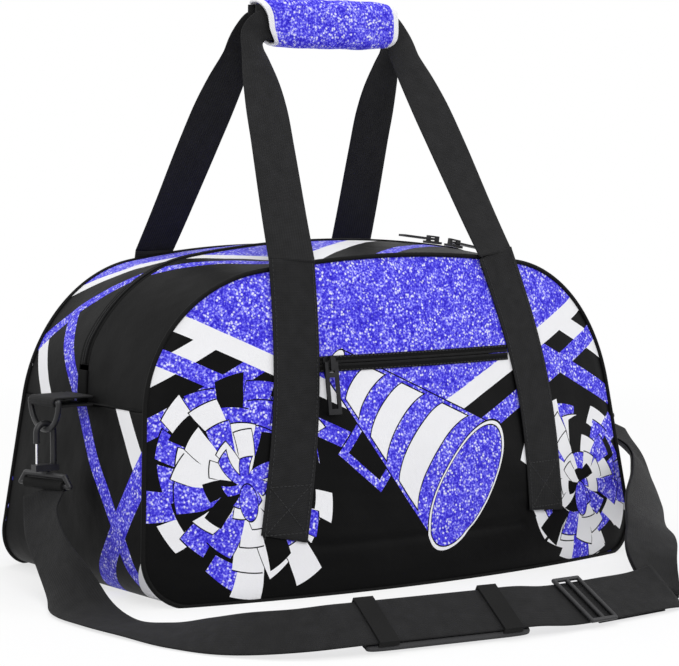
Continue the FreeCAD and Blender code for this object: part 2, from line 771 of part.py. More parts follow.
class HookFrame:
    """Directions of one hook: down its length, across its crook and along the ring's wire."""

    def __init__(self, x, swing_deg, tilt_deg, spine_side):
        swing = math.radians(swing_deg)
        tilt = math.radians(tilt_deg)
        radial = V(0, -math.sin(swing), -math.cos(swing))
        self.wire_point = V(x, 0, ring_bar_z) + radial * ring_radius
        self.along = V(0, math.cos(swing), -math.sin(swing))
        self.down = radial * math.cos(tilt) + V(math.sin(tilt), 0, 0)
        self.across = self.along.cross(self.down).normalize() * spine_side
        self.centre = self.wire_point + self.down * (hook_inner_radius - ring_wire - hook_rest_gap)

    def place(self, across, down):
        """Point in the hook's own directions, from the crook's centre."""
        return self.centre + self.across * across + self.down * down

    def put(self, shape):
        """Copy of an upright hook piece, moved to this hook."""
        up = self.down * -1.0
        side = up.cross(self.across)
        matrix = FreeCAD.Matrix(
            self.across.x, side.x, up.x, self.centre.x,
            self.across.y, side.y, up.y, self.centre.y,
            self.across.z, side.z, up.z, self.centre.z,
            0, 0, 0, 1)
        moved = shape.copy()
        moved.Placement = FreeCAD.Placement(matrix)
        return moved


def rod(first, last, radius):
    """Round bar between two points."""
    line = last - first
    return Part.makeCylinder(radius, line.Length, first, line)


def snap_hook():
    """Crook, spine and base of a snap hook, upright with its crook's centre at the origin."""
    major = hook_inner_radius + hook_wire
    reach = major + hook_wire + 1.0
    crook = Part.makeTorus(major, hook_wire, V(0, 0, 0), V(0, 1, 0))
    shape = crook.common(box((-reach, -reach, 0.0), (reach, reach, reach)))
    shape = shape.fuse(rod(V(major, 0, 0), V(major, 0, -hook_length - 1.0), hook_wire))
    shape = shape.fuse(rod(V(-major, 0, 0), V(-major, 0, -hook_tip), hook_wire))
    half = hook_base_depth / 2
    wide = major + hook_wire + hook_base_rim
    base = box((-wide, -half, -hook_length - hook_base_height), (wide, half, -hook_length))
    return shape.fuse(base).removeSplitter()


def spring_gate():
    """Wire gate of an upright hook, from its base up to its tip."""
    major = hook_inner_radius + hook_wire
    return rod(V(-major, 0, gate_gap - hook_length), V(-major, 0, -hook_tip - gate_gap), gate_wire)


def gate_pivot(hook):
    """Pivot of the gate at the hook's base."""
    return hook.place(-hook_inner_radius - hook_wire, hook_length - gate_gap)


def web_loop(hook, width_direction):
    """Swivel stud and flat loop that carries the web."""
    side = width_direction.normalize()
    top = hook.place(0, hook_length + hook_base_height + swivel_gap)
    bar = hook.wire_point + hook.down * loop_drop
    loop_half_width = webbing_width / 2 + loop_side
    shape = rod(top, top + hook.down * stud_length, swivel_radius)
    upper = top + hook.down * (stud_length + stud_gap)
    ends = []
    for sign in (-1, 1):
        corner_high = upper + side * (sign * (loop_half_width - loop_shoulder))
        corner_low = bar + side * (sign * loop_half_width)
        shape = shape.fuse(rod(upper, corner_high, loop_wire))
        shape = shape.fuse(rod(corner_high, corner_low, loop_wire))
        shape = shape.fuse(Part.makeSphere(loop_wire, corner_high))
        shape = shape.fuse(Part.makeSphere(loop_wire, corner_low))
        ends.append(corner_low)
    shape = shape.fuse(rod(ends[0], ends[1], loop_wire))
    return shape


def web_end(hook, width_direction):
    """Sewn web end wrapped round the loop's lower bar."""
    side = width_direction.normalize()
    bar = hook.wire_point + hook.down * loop_drop
    radius = loop_wire + loop_clearance + webbing_thickness
    half = webbing_width / 2
    sleeve = Part.makeCylinder(radius, 2 * half, bar - side * half, side)
    bore = Part.makeCylinder(loop_wire + loop_clearance, 2 * half + 2, bar - side * (half + 1), side)
    return sleeve.cut(bore)


ring_x = outline.at(seam_station)[0] + ring_reach
left_hook_frame = HookFrame(-ring_x, 0.0, 0.0, -1.0)
right_hook_frame = HookFrame(ring_x, right_swing_deg, right_tilt_deg, 1.0)
left_web_side = V(0.25, -0.97, 0.0)
right_web_side = right_hook_frame.down.cross(V(-0.62, 0.78, 0.0))


# ---- Shoulder pad and slider -----------------------------------------------------
def fitted(route):
    """Route whose ends keep to the rings and whose front part keeps clear of the front panel."""
    wide = ring_x / route_ring_x
    ahead = route_front - base_depth / 2 - panel_bow
    stations = []
    for (x, y, z), width in route:
        share = min(1.0, abs(y) / route_front)
        stations.append(((x * wide, y + ahead * share, z), width))
    return stations


strap_route = fitted(front_route)


class StrapFrame:
    """Directions of the webbing at one station of the strap's front route."""

    def __init__(self, index):
        before = V(*strap_route[index - 1][0])
        after = V(*strap_route[index + 1][0])
        self.centre = V(*strap_route[index][0])
        self.along = (after - before).normalize()
        side = V(*strap_route[index][1]).normalize()
        self.normal = self.along.cross(side).normalize()
        self.side = self.normal.cross(self.along).normalize()

    def block(self, along, side, normal):
        """Block between two distances in each of the webbing's directions."""
        corner = self.centre + self.along * along[0] + self.side * side[0] + self.normal * normal[0]
        step = self.along * (along[1] - along[0])
        wide = self.side * (side[1] - side[0])
        face = Part.Face(Part.makePolygon([corner, corner + step, corner + step + wide, corner + wide, corner]))
        return face.extrude(self.normal * (normal[1] - normal[0]))

    def point(self, along, side, normal):
        """Point in the webbing's directions."""
        return self.centre + self.along * along + self.side * side + self.normal * normal


pad_frame = StrapFrame(12)
slider_frame = StrapFrame(16)


def shoulder_pad():
    """Pad on the shoulder side of the webbing."""
    face = webbing_thickness / 2 + pad_gap
    half = pad_length / 2
    block = pad_frame.block((-half, half), (-pad_width / 2, pad_width / 2), (-face - pad_thickness, -face))
    edges = [edge for edge in block.Edges if abs(edge.tangentAt(0).dot(pad_frame.along)) > 0.9]
    return block.makeFillet(pad_edge_radius, edges)


def pad_keepers():
    """Two webbing loops on the pad that the strap runs through."""
    face = webbing_thickness / 2 + pad_gap
    top = face + keeper_thickness
    outer_half = pad_width / 2 - keeper_rim
    inner_half = webbing_width / 2 + pad_gap
    loops = []
    for end in (-1, 1):
        middle = end * (pad_length / 2 - keeper_inset)
        run = (middle - keeper_width / 2, middle + keeper_width / 2)
        outer = pad_frame.block(run, (-outer_half, outer_half), (-face, top))
        inner = pad_frame.block((run[0] - 1, run[1] + 1), (-inner_half, inner_half), (-face - 1, face))
        loops.append(outer.cut(inner))
    return Part.makeCompound(loops)


def strap_slider():
    """Three-bar adjusting slider on the webbing's outer face."""
    level = webbing_thickness / 2 + strap_slider_gap + slider_bar_radius
    half = slider_frame_tall / 2 - slider_bar_radius
    reach = slider_frame_length / 2 - slider_bar_radius
    shape = None
    for along in (-reach, 0.0, reach):
        bar = rod(slider_frame.point(along, -half, level), slider_frame.point(along, half, level), slider_bar_radius)
        shape = bar if shape is None else shape.fuse(bar)
    for side in (-half, half):
        shape = shape.fuse(rod(slider_frame.point(-reach, side, level), slider_frame.point(reach, side, level),
                               slider_bar_radius))
        for along in (-reach, reach):
            shape = shape.fuse(Part.makeSphere(slider_bar_radius, slider_frame.point(along, side, level)))
    return shape


def right_strap_route():
    """Right route with its end at the right web loop."""
    bar = right_hook_frame.wire_point + right_hook_frame.down * loop_drop
    end = bar + right_hook_frame.down * (loop_wire + loop_clearance + webbing_thickness + web_end_gap)
    return fitted(right_route) + [((end.x, end.y, end.z), tuple(right_web_side))]


def return_layer():
    """Second layer of the strap, from the slider back to the right web loop."""
    lift = -webbing_thickness - layer_gap
    runs = [webbing(strap_route[:-1], lift, return_start), webbing(right_strap_route(), lift)]
    return Part.makeCompound(runs)


def build():
    """Build every sub-part and write it."""
    os.makedirs("parts", exist_ok=True)
    save("front_panel", front_panel())
    save("back_panel", mirror_y(front_blank()))
    right_end = end_panel()
    save("right_end_panel", right_end)
    save("left_end_panel", mirror_x(right_end))
    save("bottom_panel", bottom_panel())
    save("base_board", base_board())
    gusset = gusset_front()
    tape = zip_tape_front()
    coil = zip_coil_front()
    for name, shape in (("gusset", gusset), ("zip_tape", tape), ("zip_coil", coil)):
        save(name + "_front", shape)
        save(name + "_back", mirror_y(shape))
    zip_stop = zip_end()
    save("zip_end_right", zip_stop)
    save("zip_end_left", mirror_x(zip_stop))

    crown = outline.crown_centre
    sliders = (("left", crown, crown_radius, left_slider_angle, -1.0),
               ("right", outline.shoulder, shoulder_radius, right_slider_angle(), 1.0))
    for side, centre, radius, angle, pull_side in sliders:
        saddle, pull, pivot = main_slider(centre, radius, angle, pull_side)
        save("main_slider_" + side, saddle)
        save("main_pull_" + side, pull)
        report("main pull pivot " + side, pivot)
        report("main slider centre " + side, V(centre[0], 0, centre[1]))

    save("pocket_zip_tape", pocket_tape())
    save("pocket_zip_coil", pocket_coil())
    save("pocket_lining", pocket_lining())
    saddle, pull, pivot = pocket_slider()
    save("pocket_slider", saddle)
    save("pocket_pull", pull)
    report("pocket pull pivot", pivot)
    report("pocket slider centre", V(0, bow_radius - panel_y(0, pocket_zip_height), pocket_zip_height))
    report("crown, shoulder degrees", V(math.degrees(outline.crown_angle), right_slider_angle(),
                                        math.degrees(outline.side_angle)))

    run = sewn_run()
    leg = narrow_leg()
    for name, shape in (("handle_sewn_run", run), ("handle_leg", leg)):
        save(name + "_front_right", shape)
        save(name + "_front_left", mirror_x(shape))
        save(name + "_back_right", mirror_y(shape))
        save(name + "_back_left", mirror_x(mirror_y(shape)))
    save("grip_web_front", grip_web())
    save("grip_web_back", mirror_y(grip_web()))
    save("grip_wrap", grip_wrap())
    save("wrap_flap", wrap_flap())

    tab = web_tab()
    save("ring_tab_right", tab)
    save("ring_tab_left", mirror_x(tab))
    for side, x, hook, web_side in (("left", -ring_x, left_hook_frame, left_web_side),
                                    ("right", ring_x, right_hook_frame, right_web_side)):
        save("d_ring_" + side, d_ring(x))
        save("snap_hook_" + side, hook.put(snap_hook()))
        save("hook_gate_" + side, hook.put(spring_gate()))
        save("web_loop_" + side, web_loop(hook, web_side))
        save("web_end_" + side, web_end(hook, web_side))
        report("hook wire " + side, hook.wire_point)
        report("hook down " + side, hook.down)
        report("hook along " + side, hook.along)
        report("hook centre " + side, hook.centre)
        report("gate pivot " + side, gate_pivot(hook))
    save("strap_front_run", webbing(strap_route))
    save("strap_right_run", webbing(right_strap_route()))
    save("strap_return_layer", return_layer())
    save("shoulder_pad", shoulder_pad())
    save("pad_keepers", pad_keepers())
    save("strap_slider", strap_slider())
    report("pad along", pad_frame.along)
    report("slider along", slider_frame.along)


def report(name, point):
    """Print a place or direction that the record uses."""
    print("%-26s %.5f %.5f %.5f" % (name, point.x, point.y, point.z))


if __name__ == "__main__":
    build()
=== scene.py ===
"""Looks of a printed travel duffel bag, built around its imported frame. Metres, front panel towards -Y."""

import logging
import math
from dataclasses import dataclass, field
from enum import Enum
from typing import Callable, Optional, Sequence

import bmesh
import bpy
import numpy as np
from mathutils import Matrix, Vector

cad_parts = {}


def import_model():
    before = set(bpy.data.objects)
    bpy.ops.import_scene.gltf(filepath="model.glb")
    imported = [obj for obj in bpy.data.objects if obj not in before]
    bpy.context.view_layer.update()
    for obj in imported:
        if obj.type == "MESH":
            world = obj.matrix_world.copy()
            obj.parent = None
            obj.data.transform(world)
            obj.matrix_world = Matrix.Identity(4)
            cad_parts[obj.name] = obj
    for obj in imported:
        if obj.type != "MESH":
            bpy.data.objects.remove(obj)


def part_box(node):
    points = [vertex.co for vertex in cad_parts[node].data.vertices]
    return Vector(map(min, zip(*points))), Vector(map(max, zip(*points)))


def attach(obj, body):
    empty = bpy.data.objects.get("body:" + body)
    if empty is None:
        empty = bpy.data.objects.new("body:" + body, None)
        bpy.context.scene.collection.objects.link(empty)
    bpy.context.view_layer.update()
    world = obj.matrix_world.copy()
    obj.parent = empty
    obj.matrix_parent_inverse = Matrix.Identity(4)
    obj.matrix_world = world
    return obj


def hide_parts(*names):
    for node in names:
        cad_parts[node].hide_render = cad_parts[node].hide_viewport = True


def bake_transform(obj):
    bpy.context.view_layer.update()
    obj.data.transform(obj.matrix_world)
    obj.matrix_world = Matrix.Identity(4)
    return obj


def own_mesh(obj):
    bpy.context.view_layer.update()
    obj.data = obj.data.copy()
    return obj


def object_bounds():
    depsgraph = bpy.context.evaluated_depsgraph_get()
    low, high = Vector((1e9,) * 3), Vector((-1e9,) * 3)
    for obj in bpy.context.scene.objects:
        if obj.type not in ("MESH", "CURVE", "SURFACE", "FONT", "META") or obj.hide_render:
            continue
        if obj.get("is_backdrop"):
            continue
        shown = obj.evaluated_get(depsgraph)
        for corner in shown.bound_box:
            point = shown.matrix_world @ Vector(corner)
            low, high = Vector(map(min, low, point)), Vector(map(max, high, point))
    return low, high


log = logging.getLogger("duffel_bag")
MM = 0.001
Array = np.ndarray
Route = "list[tuple[tuple, tuple]]"


class End(Enum):
    """The two ends of the bag."""

    LEFT = -1.0
    RIGHT = 1.0


class Side(Enum):
    """The two long sides of the bag."""

    FRONT = -1.0
    BACK = 1.0


# ---- Shader maths ------------------------------------------------------------------
class Value:
    """A number that varies over a surface; arithmetic on it adds Math nodes."""

    def __init__(self, shader: "Shader", socket: bpy.types.NodeSocket) -> None:
        """Wraps one output socket."""
        self.shader = shader
        self.socket = socket

    def maths(self, operation: str, *others: "Value | float") -> "Value":
        """Result of a Math node on this value.

        Args:
            operation: The node's operation.
            others: Further inputs, as values or numbers.

        Returns:
            The node's result.
        """
        inputs = {0: self}
        for index, other in enumerate(others):
            inputs[index + 1] = other
        return self.shader.node("ShaderNodeMath", {"operation": operation}, inputs)

    def __add__(self, other: "Value | float") -> "Value":
        """Sum."""
        return self.maths("ADD", other)

    __radd__ = __add__

    def __sub__(self, other: "Value | float") -> "Value":
        """Difference."""
        return self.maths("SUBTRACT", other)

    def __rsub__(self, other: float) -> "Value":
        """Difference from a number."""
        return (self * -1.0) + other

    def __mul__(self, other: "Value | float") -> "Value":
        """Product."""
        return self.maths("MULTIPLY", other)

    __rmul__ = __mul__

    def __truediv__(self, other: "Value | float") -> "Value":
        """Quotient."""
        return self.maths("DIVIDE", other)

    def __abs__(self) -> "Value":
        """Absolute value."""
        return self.maths("ABSOLUTE")

    def __gt__(self, edge: "Value | float") -> "Value":
        """1 where the value is above the edge, else 0."""
        return self.maths("GREATER_THAN", edge)

    def __lt__(self, edge: "Value | float") -> "Value":
        """1 where the value is below the edge, else 0."""
        return self.maths("LESS_THAN", edge)

    def between(self, low: float, high: float) -> "Value":
        """1 between two numbers, else 0."""
        return (self > low) * (self < high)

    def root(self) -> "Value":
        """Square root, 0 below 0."""
        return self.maths("MAXIMUM", 0.0).maths("SQRT")


class Shader:
    """Node tree of one material or world, with one method that adds nodes."""

    def __init__(self, name: str, world: bool = False) -> None:
        """Starts a material with a Principled shader, or a world with a Background."""
        kept = bpy.data.worlds if world else bpy.data.materials
        self.material = kept.new(name)
        self.material.use_nodes = True
        self.tree = self.material.node_tree
        self.surface = self.tree.nodes["Background" if world else "Principled BSDF"]

    def node(self, kind: str, settings: Optional[dict] = None, inputs: Optional[dict] = None,
             output: "int | str" = 0) -> Value:
        """Adds a node, sets it up and links it.

        Args:
            kind: The node's type.
            settings: Attributes, or a ramp's stops, set before the inputs.
            inputs: Numbers, colours or values for its sockets, by index or name.
            output: The output socket that is returned.

        Returns:
            The chosen output.
        """
        made = self.tree.nodes.new(kind)
        for key, setting in (settings or {}).items():
            if key == "stops":
                self.set_stops(made.color_ramp, setting)
            else:
                setattr(made, key, setting)
        for key, given in (inputs or {}).items():
            if isinstance(given, Value):
                self.tree.links.new(given.socket, made.inputs[key])
            else:
                made.inputs[key].default_value = given
        return Value(self, made.outputs[output])

    def set_stops(self, ramp: bpy.types.ColorRamp, stops: "Sequence[tuple]") -> None:
        """Gives a ramp its stops, each a position and a colour, first at 0 and last at 1."""
        ramp.elements[0].color = stops[0][1]
        ramp.elements[1].color = stops[-1][1]
        for position, colour in stops[1:-1]:
            ramp.elements.new(position).color = colour

    def rays(self, *kinds: str) -> Value:
        """1 for light-path rays of any of the kinds, else 0."""
        return sum(self.node("ShaderNodeLightPath", output="Is %s Ray" % kind) for kind in kinds)

    def axes(self, uv: bool = False) -> "tuple[Value, Value, Value, Value]":
        """Object or UV coordinates, whole and as three numbers in millimetres."""
        place = self.node("ShaderNodeTexCoord", output="UV" if uv else "Object")
        scaled = self.node("ShaderNodeVectorMath", {"operation": "SCALE"}, {0: place, "Scale": 1 / MM})
        parts = [self.node("ShaderNodeSeparateXYZ", inputs={0: scaled}, output=index) for index in range(3)]
        return (scaled, *parts)

    def mix(self, mask: "Value | float", low: "Value | tuple", high: "Value | tuple") -> Value:
        """Colour that goes from low to high with the mask."""
        return self.node("ShaderNodeMix", {"data_type": "RGBA"}, {0: mask, 6: low, 7: high}, output=2)

    def noise(self, place: Value, scale: float, detail: float = 2.0) -> Value:
        """Soft noise between 0 and 1."""
        return self.node("ShaderNodeTexNoise", inputs={"Vector": place, "Scale": scale, "Detail": detail})

    def bump(self, height: Value, distance: float, strength: float = 1.0) -> None:
        """Feeds a height in millimetres to the surface's normal."""
        normal = self.node("ShaderNodeBump",
                           inputs={"Height": height, "Distance": distance, "Strength": strength})
        self.tree.links.new(normal.socket, self.surface.inputs["Normal"])

    def drive(self, **sockets: "Value | float | tuple") -> None:
        """Sets or links the surface's own sockets, named with underscores for spaces."""
        for key, given in sockets.items():
            socket = self.surface.inputs[key.replace("_", " ")]
            if isinstance(given, Value):
                self.tree.links.new(given.socket, socket)
            else:
                socket.default_value = given


BLACK_INK = (0.0012, 0.0012, 0.0013, 1.0)
WHITE_INK = (0.80, 0.80, 0.82, 1.0)
FLAKE = (0.86, 0.87, 1.0, 1.0)
GLITTER_TONES = ((0.0, (0.018, 0.010, 0.46, 1.0)), (0.42, (0.055, 0.042, 0.68, 1.0)),
                 (0.70, (0.17, 0.16, 0.86, 1.0)), (1.0, (0.60, 0.61, 1.0, 1.0)))


def glitter(shader: Shader, place: Value) -> Value:
    """Blue-violet glitter: mottled grains with soft bright flakes.

    Args:
        shader: The material's node tree.
        place: Coordinates in millimetres.

    Returns:
        The colour.
    """
    grain = shader.noise(place, 0.62, 2.0)
    clouds = shader.noise(place, 0.12, 3.0)
    level = (grain - 0.5) * 2.1 + (clouds - 0.5) * 0.8 + 0.46
    ground = shader.node("ShaderNodeValToRGB", {"stops": GLITTER_TONES}, {0: level})
    cells = shader.node("ShaderNodeTexVoronoi", inputs={"Vector": place, "Scale": 0.42}, output="Distance")
    pick = shader.noise(place, 0.20, 1.0)
    soft = ((0.46 - cells) * 4.0).maths("MAXIMUM", 0.0).maths("MINIMUM", 1.0)
    bright = soft * ((pick - 0.45) * 9.0).maths("MAXIMUM", 0.0).maths("MINIMUM", 1.0)
    return shader.mix(bright * 0.85, ground, FLAKE)


class Artwork:
    """Inks laid over each other, last on top."""

    def __init__(self, shader: Shader, place: Value) -> None:
        """Starts with black cloth."""
        self.shader = shader
        self.sparkle = glitter(shader, place)
        self.colour: "Value | tuple" = BLACK_INK

    def blue(self, mask: Value) -> None:
        """Prints glitter."""
        self.colour = self.shader.mix(mask, self.colour, self.sparkle)

    def white(self, mask: Value) -> None:
        """Prints white."""
        self.colour = self.shader.mix(mask, self.colour, WHITE_INK)

    def black(self, mask: Value) -> None:
        """Prints black."""
        self.colour = self.shader.mix(mask, self.colour, BLACK_INK)

    def outlined(self, mask: Value, inner: Value) -> None:
        """Prints a blue shape with a black outline."""
        self.black(mask)
        self.blue(inner)


@dataclass(frozen=True)
class Burst:
    """Pompom of five rings of square-ended streamers, each ring over the one outside it.

    A ring is its reach as a share of the radius, its number of streamers, their width and how much they
    curl. The seed picks each streamer's length, lean and ink.
    """

    centre: "tuple[float, float]"
    radius: float
    seed: float
    rings: "tuple[tuple[float, int, float, float], ...]" = (
        (1.0, 19, 14.0, 0.007), (0.86, 17, 14.5, -0.006), (0.66, 14, 13.5, 0.008), (0.47, 11, 11.0, -0.01),
        (0.27, 7, 8.0, 0.02))
    blue_share: float = 0.40
    white_share: float = 0.38
    outline: float = 0.9

    def print_on(self, art: Artwork, x: Value, z: Value) -> None:
        """Prints the pompom.

        Args:
            art: The inks.
            x: Place across the panel, in millimetres.
            z: Place up the panel, in millimetres.
        """
        shader = art.shader
        right = x - self.centre[0]
        up = z - self.centre[1]
        radius = (right * right + up * up).root()
        turn = up.maths("ARCTAN2", right) * (0.5 / math.pi)
        for number, (reach, count, width, curl) in enumerate(self.rings):
            along = turn * count + radius * curl + (count + 0.37 * number)
            cell = along.maths("FLOOR")
            which = cell.maths("FLOORED_MODULO", float(count)) + (self.seed + 31.7 * number)
            hashed = shader.node("ShaderNodeTexWhiteNoise", {"noise_dimensions": "1D"}, {"W": which}, "Color")
            spread, tint, tone = (shader.node("ShaderNodeSeparateColor", inputs={0: hashed}, output=index)
                                  for index in range(3))
            lean = (spread - 0.5) * 0.24 + (tint - 0.5) * 0.2
            offset = (along - cell - 0.5 + lean * 0.5) * radius * (2 * math.pi / count)
            across = abs(offset)
            length = (spread * 0.30 + (reach - 0.15)) * self.radius + offset * (tint - 0.5) * 0.7
            half = (tint * 0.5 + 0.75) * (width / 2) + radius * 0.065
            inner = (radius < length - self.outline) * (across < half - self.outline * 2 / 3)
            art.outlined((radius < length) * (across < half), inner * (tone < self.blue_share))
            art.white(inner * tone.between(self.blue_share, self.blue_share + self.white_share))
        knot = (right * right / 42.0 + (up + 12.0) * (up + 12.0) / 150.0).root()
        art.outlined(knot < 1.08, knot < 1.0)


@dataclass(frozen=True)
class Horn:
    """Plain megaphone: a banded cone with a rimmed mouth and a small hand loop."""

    narrow: "tuple[float, float]" = (-64.0, 158.0)
    mouth: "tuple[float, float]" = (41.0, 66.0)
    narrow_half: float = 12.5
    mouth_half: float = 56.0
    flatness: float = 0.40
    bands: "tuple[tuple[float, float], ...]" = ((26.0, 42.0), (58.0, 78.0), (96.0, 120.0))

    def print_on(self, art: Artwork, x: Value, z: Value) -> None:
        """Prints the megaphone.

        Args:
            art: The inks.
            x: Place across the panel, in millimetres.
            z: Place up the panel, in millimetres.
        """
        run = (self.mouth[0] - self.narrow[0], self.mouth[1] - self.narrow[1])
        length = math.hypot(*run)
        axis = (run[0] / length, run[1] / length)
        right = x - self.narrow[0]
        up = z - self.narrow[1]
        along = right * axis[0] + up * axis[1]
        across = abs(right * axis[1] - up * axis[0])
        signed = right * -axis[1] + up * axis[0]
        half = along * ((self.mouth_half - 3.0 - self.narrow_half) / length) + self.narrow_half
        loop = along.between(37.0, 82.0) * signed.between(-51.0, -20.0)
        hole = along.between(44.0, 75.0) * signed.between(-44.0, -20.0)
        art.outlined(loop, along.between(38.0, 81.0) * signed.between(-50.0, -20.0) * (1.0 - hole))
        body = along.between(0.0, length)
        art.outlined(body * (across < half), body * (across < half - 1.0))
        share = across / half
        level = along + (1.0 - share * share).root() * half * self.flatness
        for low, high in self.bands:
            art.black(level.between(low - 1.0, high + 1.0) * body * (across < half - 3.2))
            art.white(level.between(low, high) * body * (across < half - 4.2))
        for centre, size, rim in ((0.0, self.narrow_half, 0.9), (length, self.mouth_half, 0.98)):
            depth = (along - centre) / self.flatness
            oval = (depth * depth + across * across).root() / size
            art.black(oval < 1.01)
            art.white(oval < rim)
        art.outlined(oval < 0.93, oval < 0.91)


# ---- Finishes ------------------------------------------------------------------------
def weave(shader: Shader, along: Value, across: Value, pitch: float) -> Value:
    """Plain weave height: threads over and under in both directions.

    Args:
        shader: The material's node tree. Not used.
        along: First direction, in millimetres.
        across: Second direction, in millimetres.
        pitch: Thread spacing in millimetres.

    Returns:
        A height between -1 and 1.
    """
    warp = (along * (math.pi / pitch)).maths("SINE")
    weft = (across * (math.pi / pitch)).maths("SINE")
    return warp * weft


@dataclass(frozen=True)
class PrintedCloth:
    """Printed polyester: a fine weave under a slightly glossy print."""

    name: str
    roughness: float = 0.52
    thread: float = 0.9

    def finish(self, art: Artwork, first: Value, second: Value, place: Value) -> bpy.types.Material:
        """Completes the material around its artwork.

        Args:
            art: The printed inks.
            first: First weave direction, in millimetres.
            second: Second weave direction, in millimetres.
            place: Coordinates in millimetres.

        Returns:
            The material.
        """
        shader = art.shader
        cloth = weave(shader, first, second, self.thread)
        creases = shader.noise(place, 0.035, 4.0)
        shader.bump(cloth * 0.05 + creases * 1.6, 1.0 * MM, 0.55)
        shader.drive(Base_Color=art.colour, Roughness=creases * 0.16 + (self.roughness - 0.08),
                     Specular_IOR_Level=0.07)
        return shader.material


def front_print(mirrored: bool) -> bpy.types.Material:
    """Artwork of a big panel: chevron field, lattice, two pompoms and a megaphone.

    Rise and fall are heights measured square to ribbons that climb inward or outward. Their edges are in
    millimetres, as in the other prints.
    """
    shader = Shader("printed_panel_back" if mirrored else "printed_panel_front")
    place, x, _, z = shader.axes()
    if mirrored:
        x = x * -1.0
    art = Artwork(shader, place)
    side = abs(x)
    rise = z - side * 0.47
    fall = z + side * 0.5
    below = rise < 99.0
    art.blue(fall.between(214.0, 229.0) * below)
    art.white(fall.between(247.5, 262.5) * below)
    art.blue(rise.between(69.5, 83.5))
    art.white(rise.between(99.0, 114.0))
    art.blue(rise > 113.5)
    Burst((-140.0, 79.0), 71.0, 3.0).print_on(art, x, z)
    Burst((159.0, 57.0), 61.0, 11.0).print_on(art, x, z)
    Horn().print_on(art, x, z)
    return PrintedCloth("panel").finish(art, x, z, place)


def end_print() -> bpy.types.Material:
    """Artwork of the end panels: two crossing glitter stripes with white beside them."""
    shader = Shader("printed_end")
    place, _, y, z = shader.axes()
    art = Artwork(shader, place)
    first = z - y * 1.25
    second = z + y * 1.75
    art.white(first.between(188.0, 210.0) * (second > -45.0))
    art.blue(first.between(119.0, 136.5))
    art.blue(second.between(-85.0, -45.0) * (z < 129.0))
    art.white(second.between(-190.0, -137.0) * (z < 60.0))
    art.blue((second < -190.0) * (z < 60.0))
    art.black(y > 14.0)
    return PrintedCloth("end").finish(art, y, z, place)


def gusset_print() -> bpy.types.Material:
    """Artwork of the top gusset: nested V shapes of glitter and white, with stripes at the left shoulder."""
    shader = Shader("printed_gusset")
    _, run, y, _ = shader.axes(uv=True)
    whole = shader.axes()[0]
    art = Artwork(shader, whole)
    side = -20.0 - run
    crown = side - y * 0.61
    stripe = side - y * 0.83
    right = y - run * 0.745
    art.white(((side - 196.0) * 0.62 + y).between(67.0, 83.0))
    art.blue(((side - 152.0) * 0.74 + y).between(56.0, 72.0))
    art.blue((stripe < 138.0) * (right > -88.0))
    art.black((stripe < 125.5) * (right > -74.0))
    art.white((crown < 107.0) * (right > -40.0))
    art.blue((crown < 93.0) * (right > -20.0))
    return PrintedCloth("gusset").finish(art, run, y, whole)


def wrap_print(half_length: float, stripe: float = 5.0 * MM) -> bpy.types.Material:
    """Artwork of the handle wrap: glitter with a white stripe along each end."""
    shader = Shader("printed_wrap")
    along = shader.axes(uv=True)[1]
    whole, x, _, z = shader.axes()
    art = Artwork(shader, whole)
    art.colour = WHITE_INK
    art.blue(abs(along) < (half_length - stripe) / MM)
    return PrintedCloth("wrap", 0.6).finish(art, x, z, whole)


@dataclass(frozen=True)
class Webbing:
    """Ribbed nylon webbing: ribs across, fine threads along, and patchy dust."""

    name: str
    tone: float = 0.011
    rib: float = 1.15
    thread: float = 1.9

    def material(self) -> bpy.types.Material:
        """Builds the material, on the piece's own UV map in metres."""
        shader = Shader(self.name)
        _, along, across, _ = shader.axes(uv=True)
        whole = shader.axes()[0]
        ribs = (along * (2 * math.pi / self.rib)).maths("SINE")
        threads = (across * (2 * math.pi / self.thread) + ribs * 0.6).maths("SINE")
        dust = shader.noise(whole, 0.12, 4.0)
        height = ribs * 0.5 + threads * 0.35 + dust * 0.4
        shader.bump(height * 0.16, 1.0 * MM, 0.8)
        lift = (ribs * threads * 0.5 + 0.5) * 0.45 + dust * 0.55
        low = (self.tone * 0.55,) * 3 + (1.0,)
        high = (self.tone * 1.75, self.tone * 1.75, self.tone * 1.85, 1.0)
        shader.drive(Base_Color=shader.mix(lift, low, high), Roughness=0.86 - dust * 0.18,
                     Sheen_Weight=0.02, Sheen_Roughness=0.5, Specular_IOR_Level=0.12)
        return shader.material


@dataclass(frozen=True)
class PlainCloth:
    """Plain woven black cloth, for the lining, zip tapes and pad."""

    name: str
    tone: float = 0.006
    thread: float = 0.7
    roughness: float = 0.8

    def material(self) -> bpy.types.Material:
        """Builds the material on Object coordinates."""
        shader = Shader(self.name)
        place, x, y, z = shader.axes()
        height = weave(shader, x + y, z - y * 0.5, self.thread)
        clouds = shader.noise(place, 0.06, 4.0)
        shader.bump(height * 0.07 + clouds * 0.5, 1.0 * MM, 0.6)
        low = (self.tone * 0.7,) * 3 + (1.0,)
        high = (self.tone * 1.4,) * 3 + (1.0,)
        shader.drive(Base_Color=shader.mix(clouds, low, high),
                     Roughness=clouds * 0.12 + (self.roughness - 0.06), Specular_IOR_Level=0.08)
        return shader.material


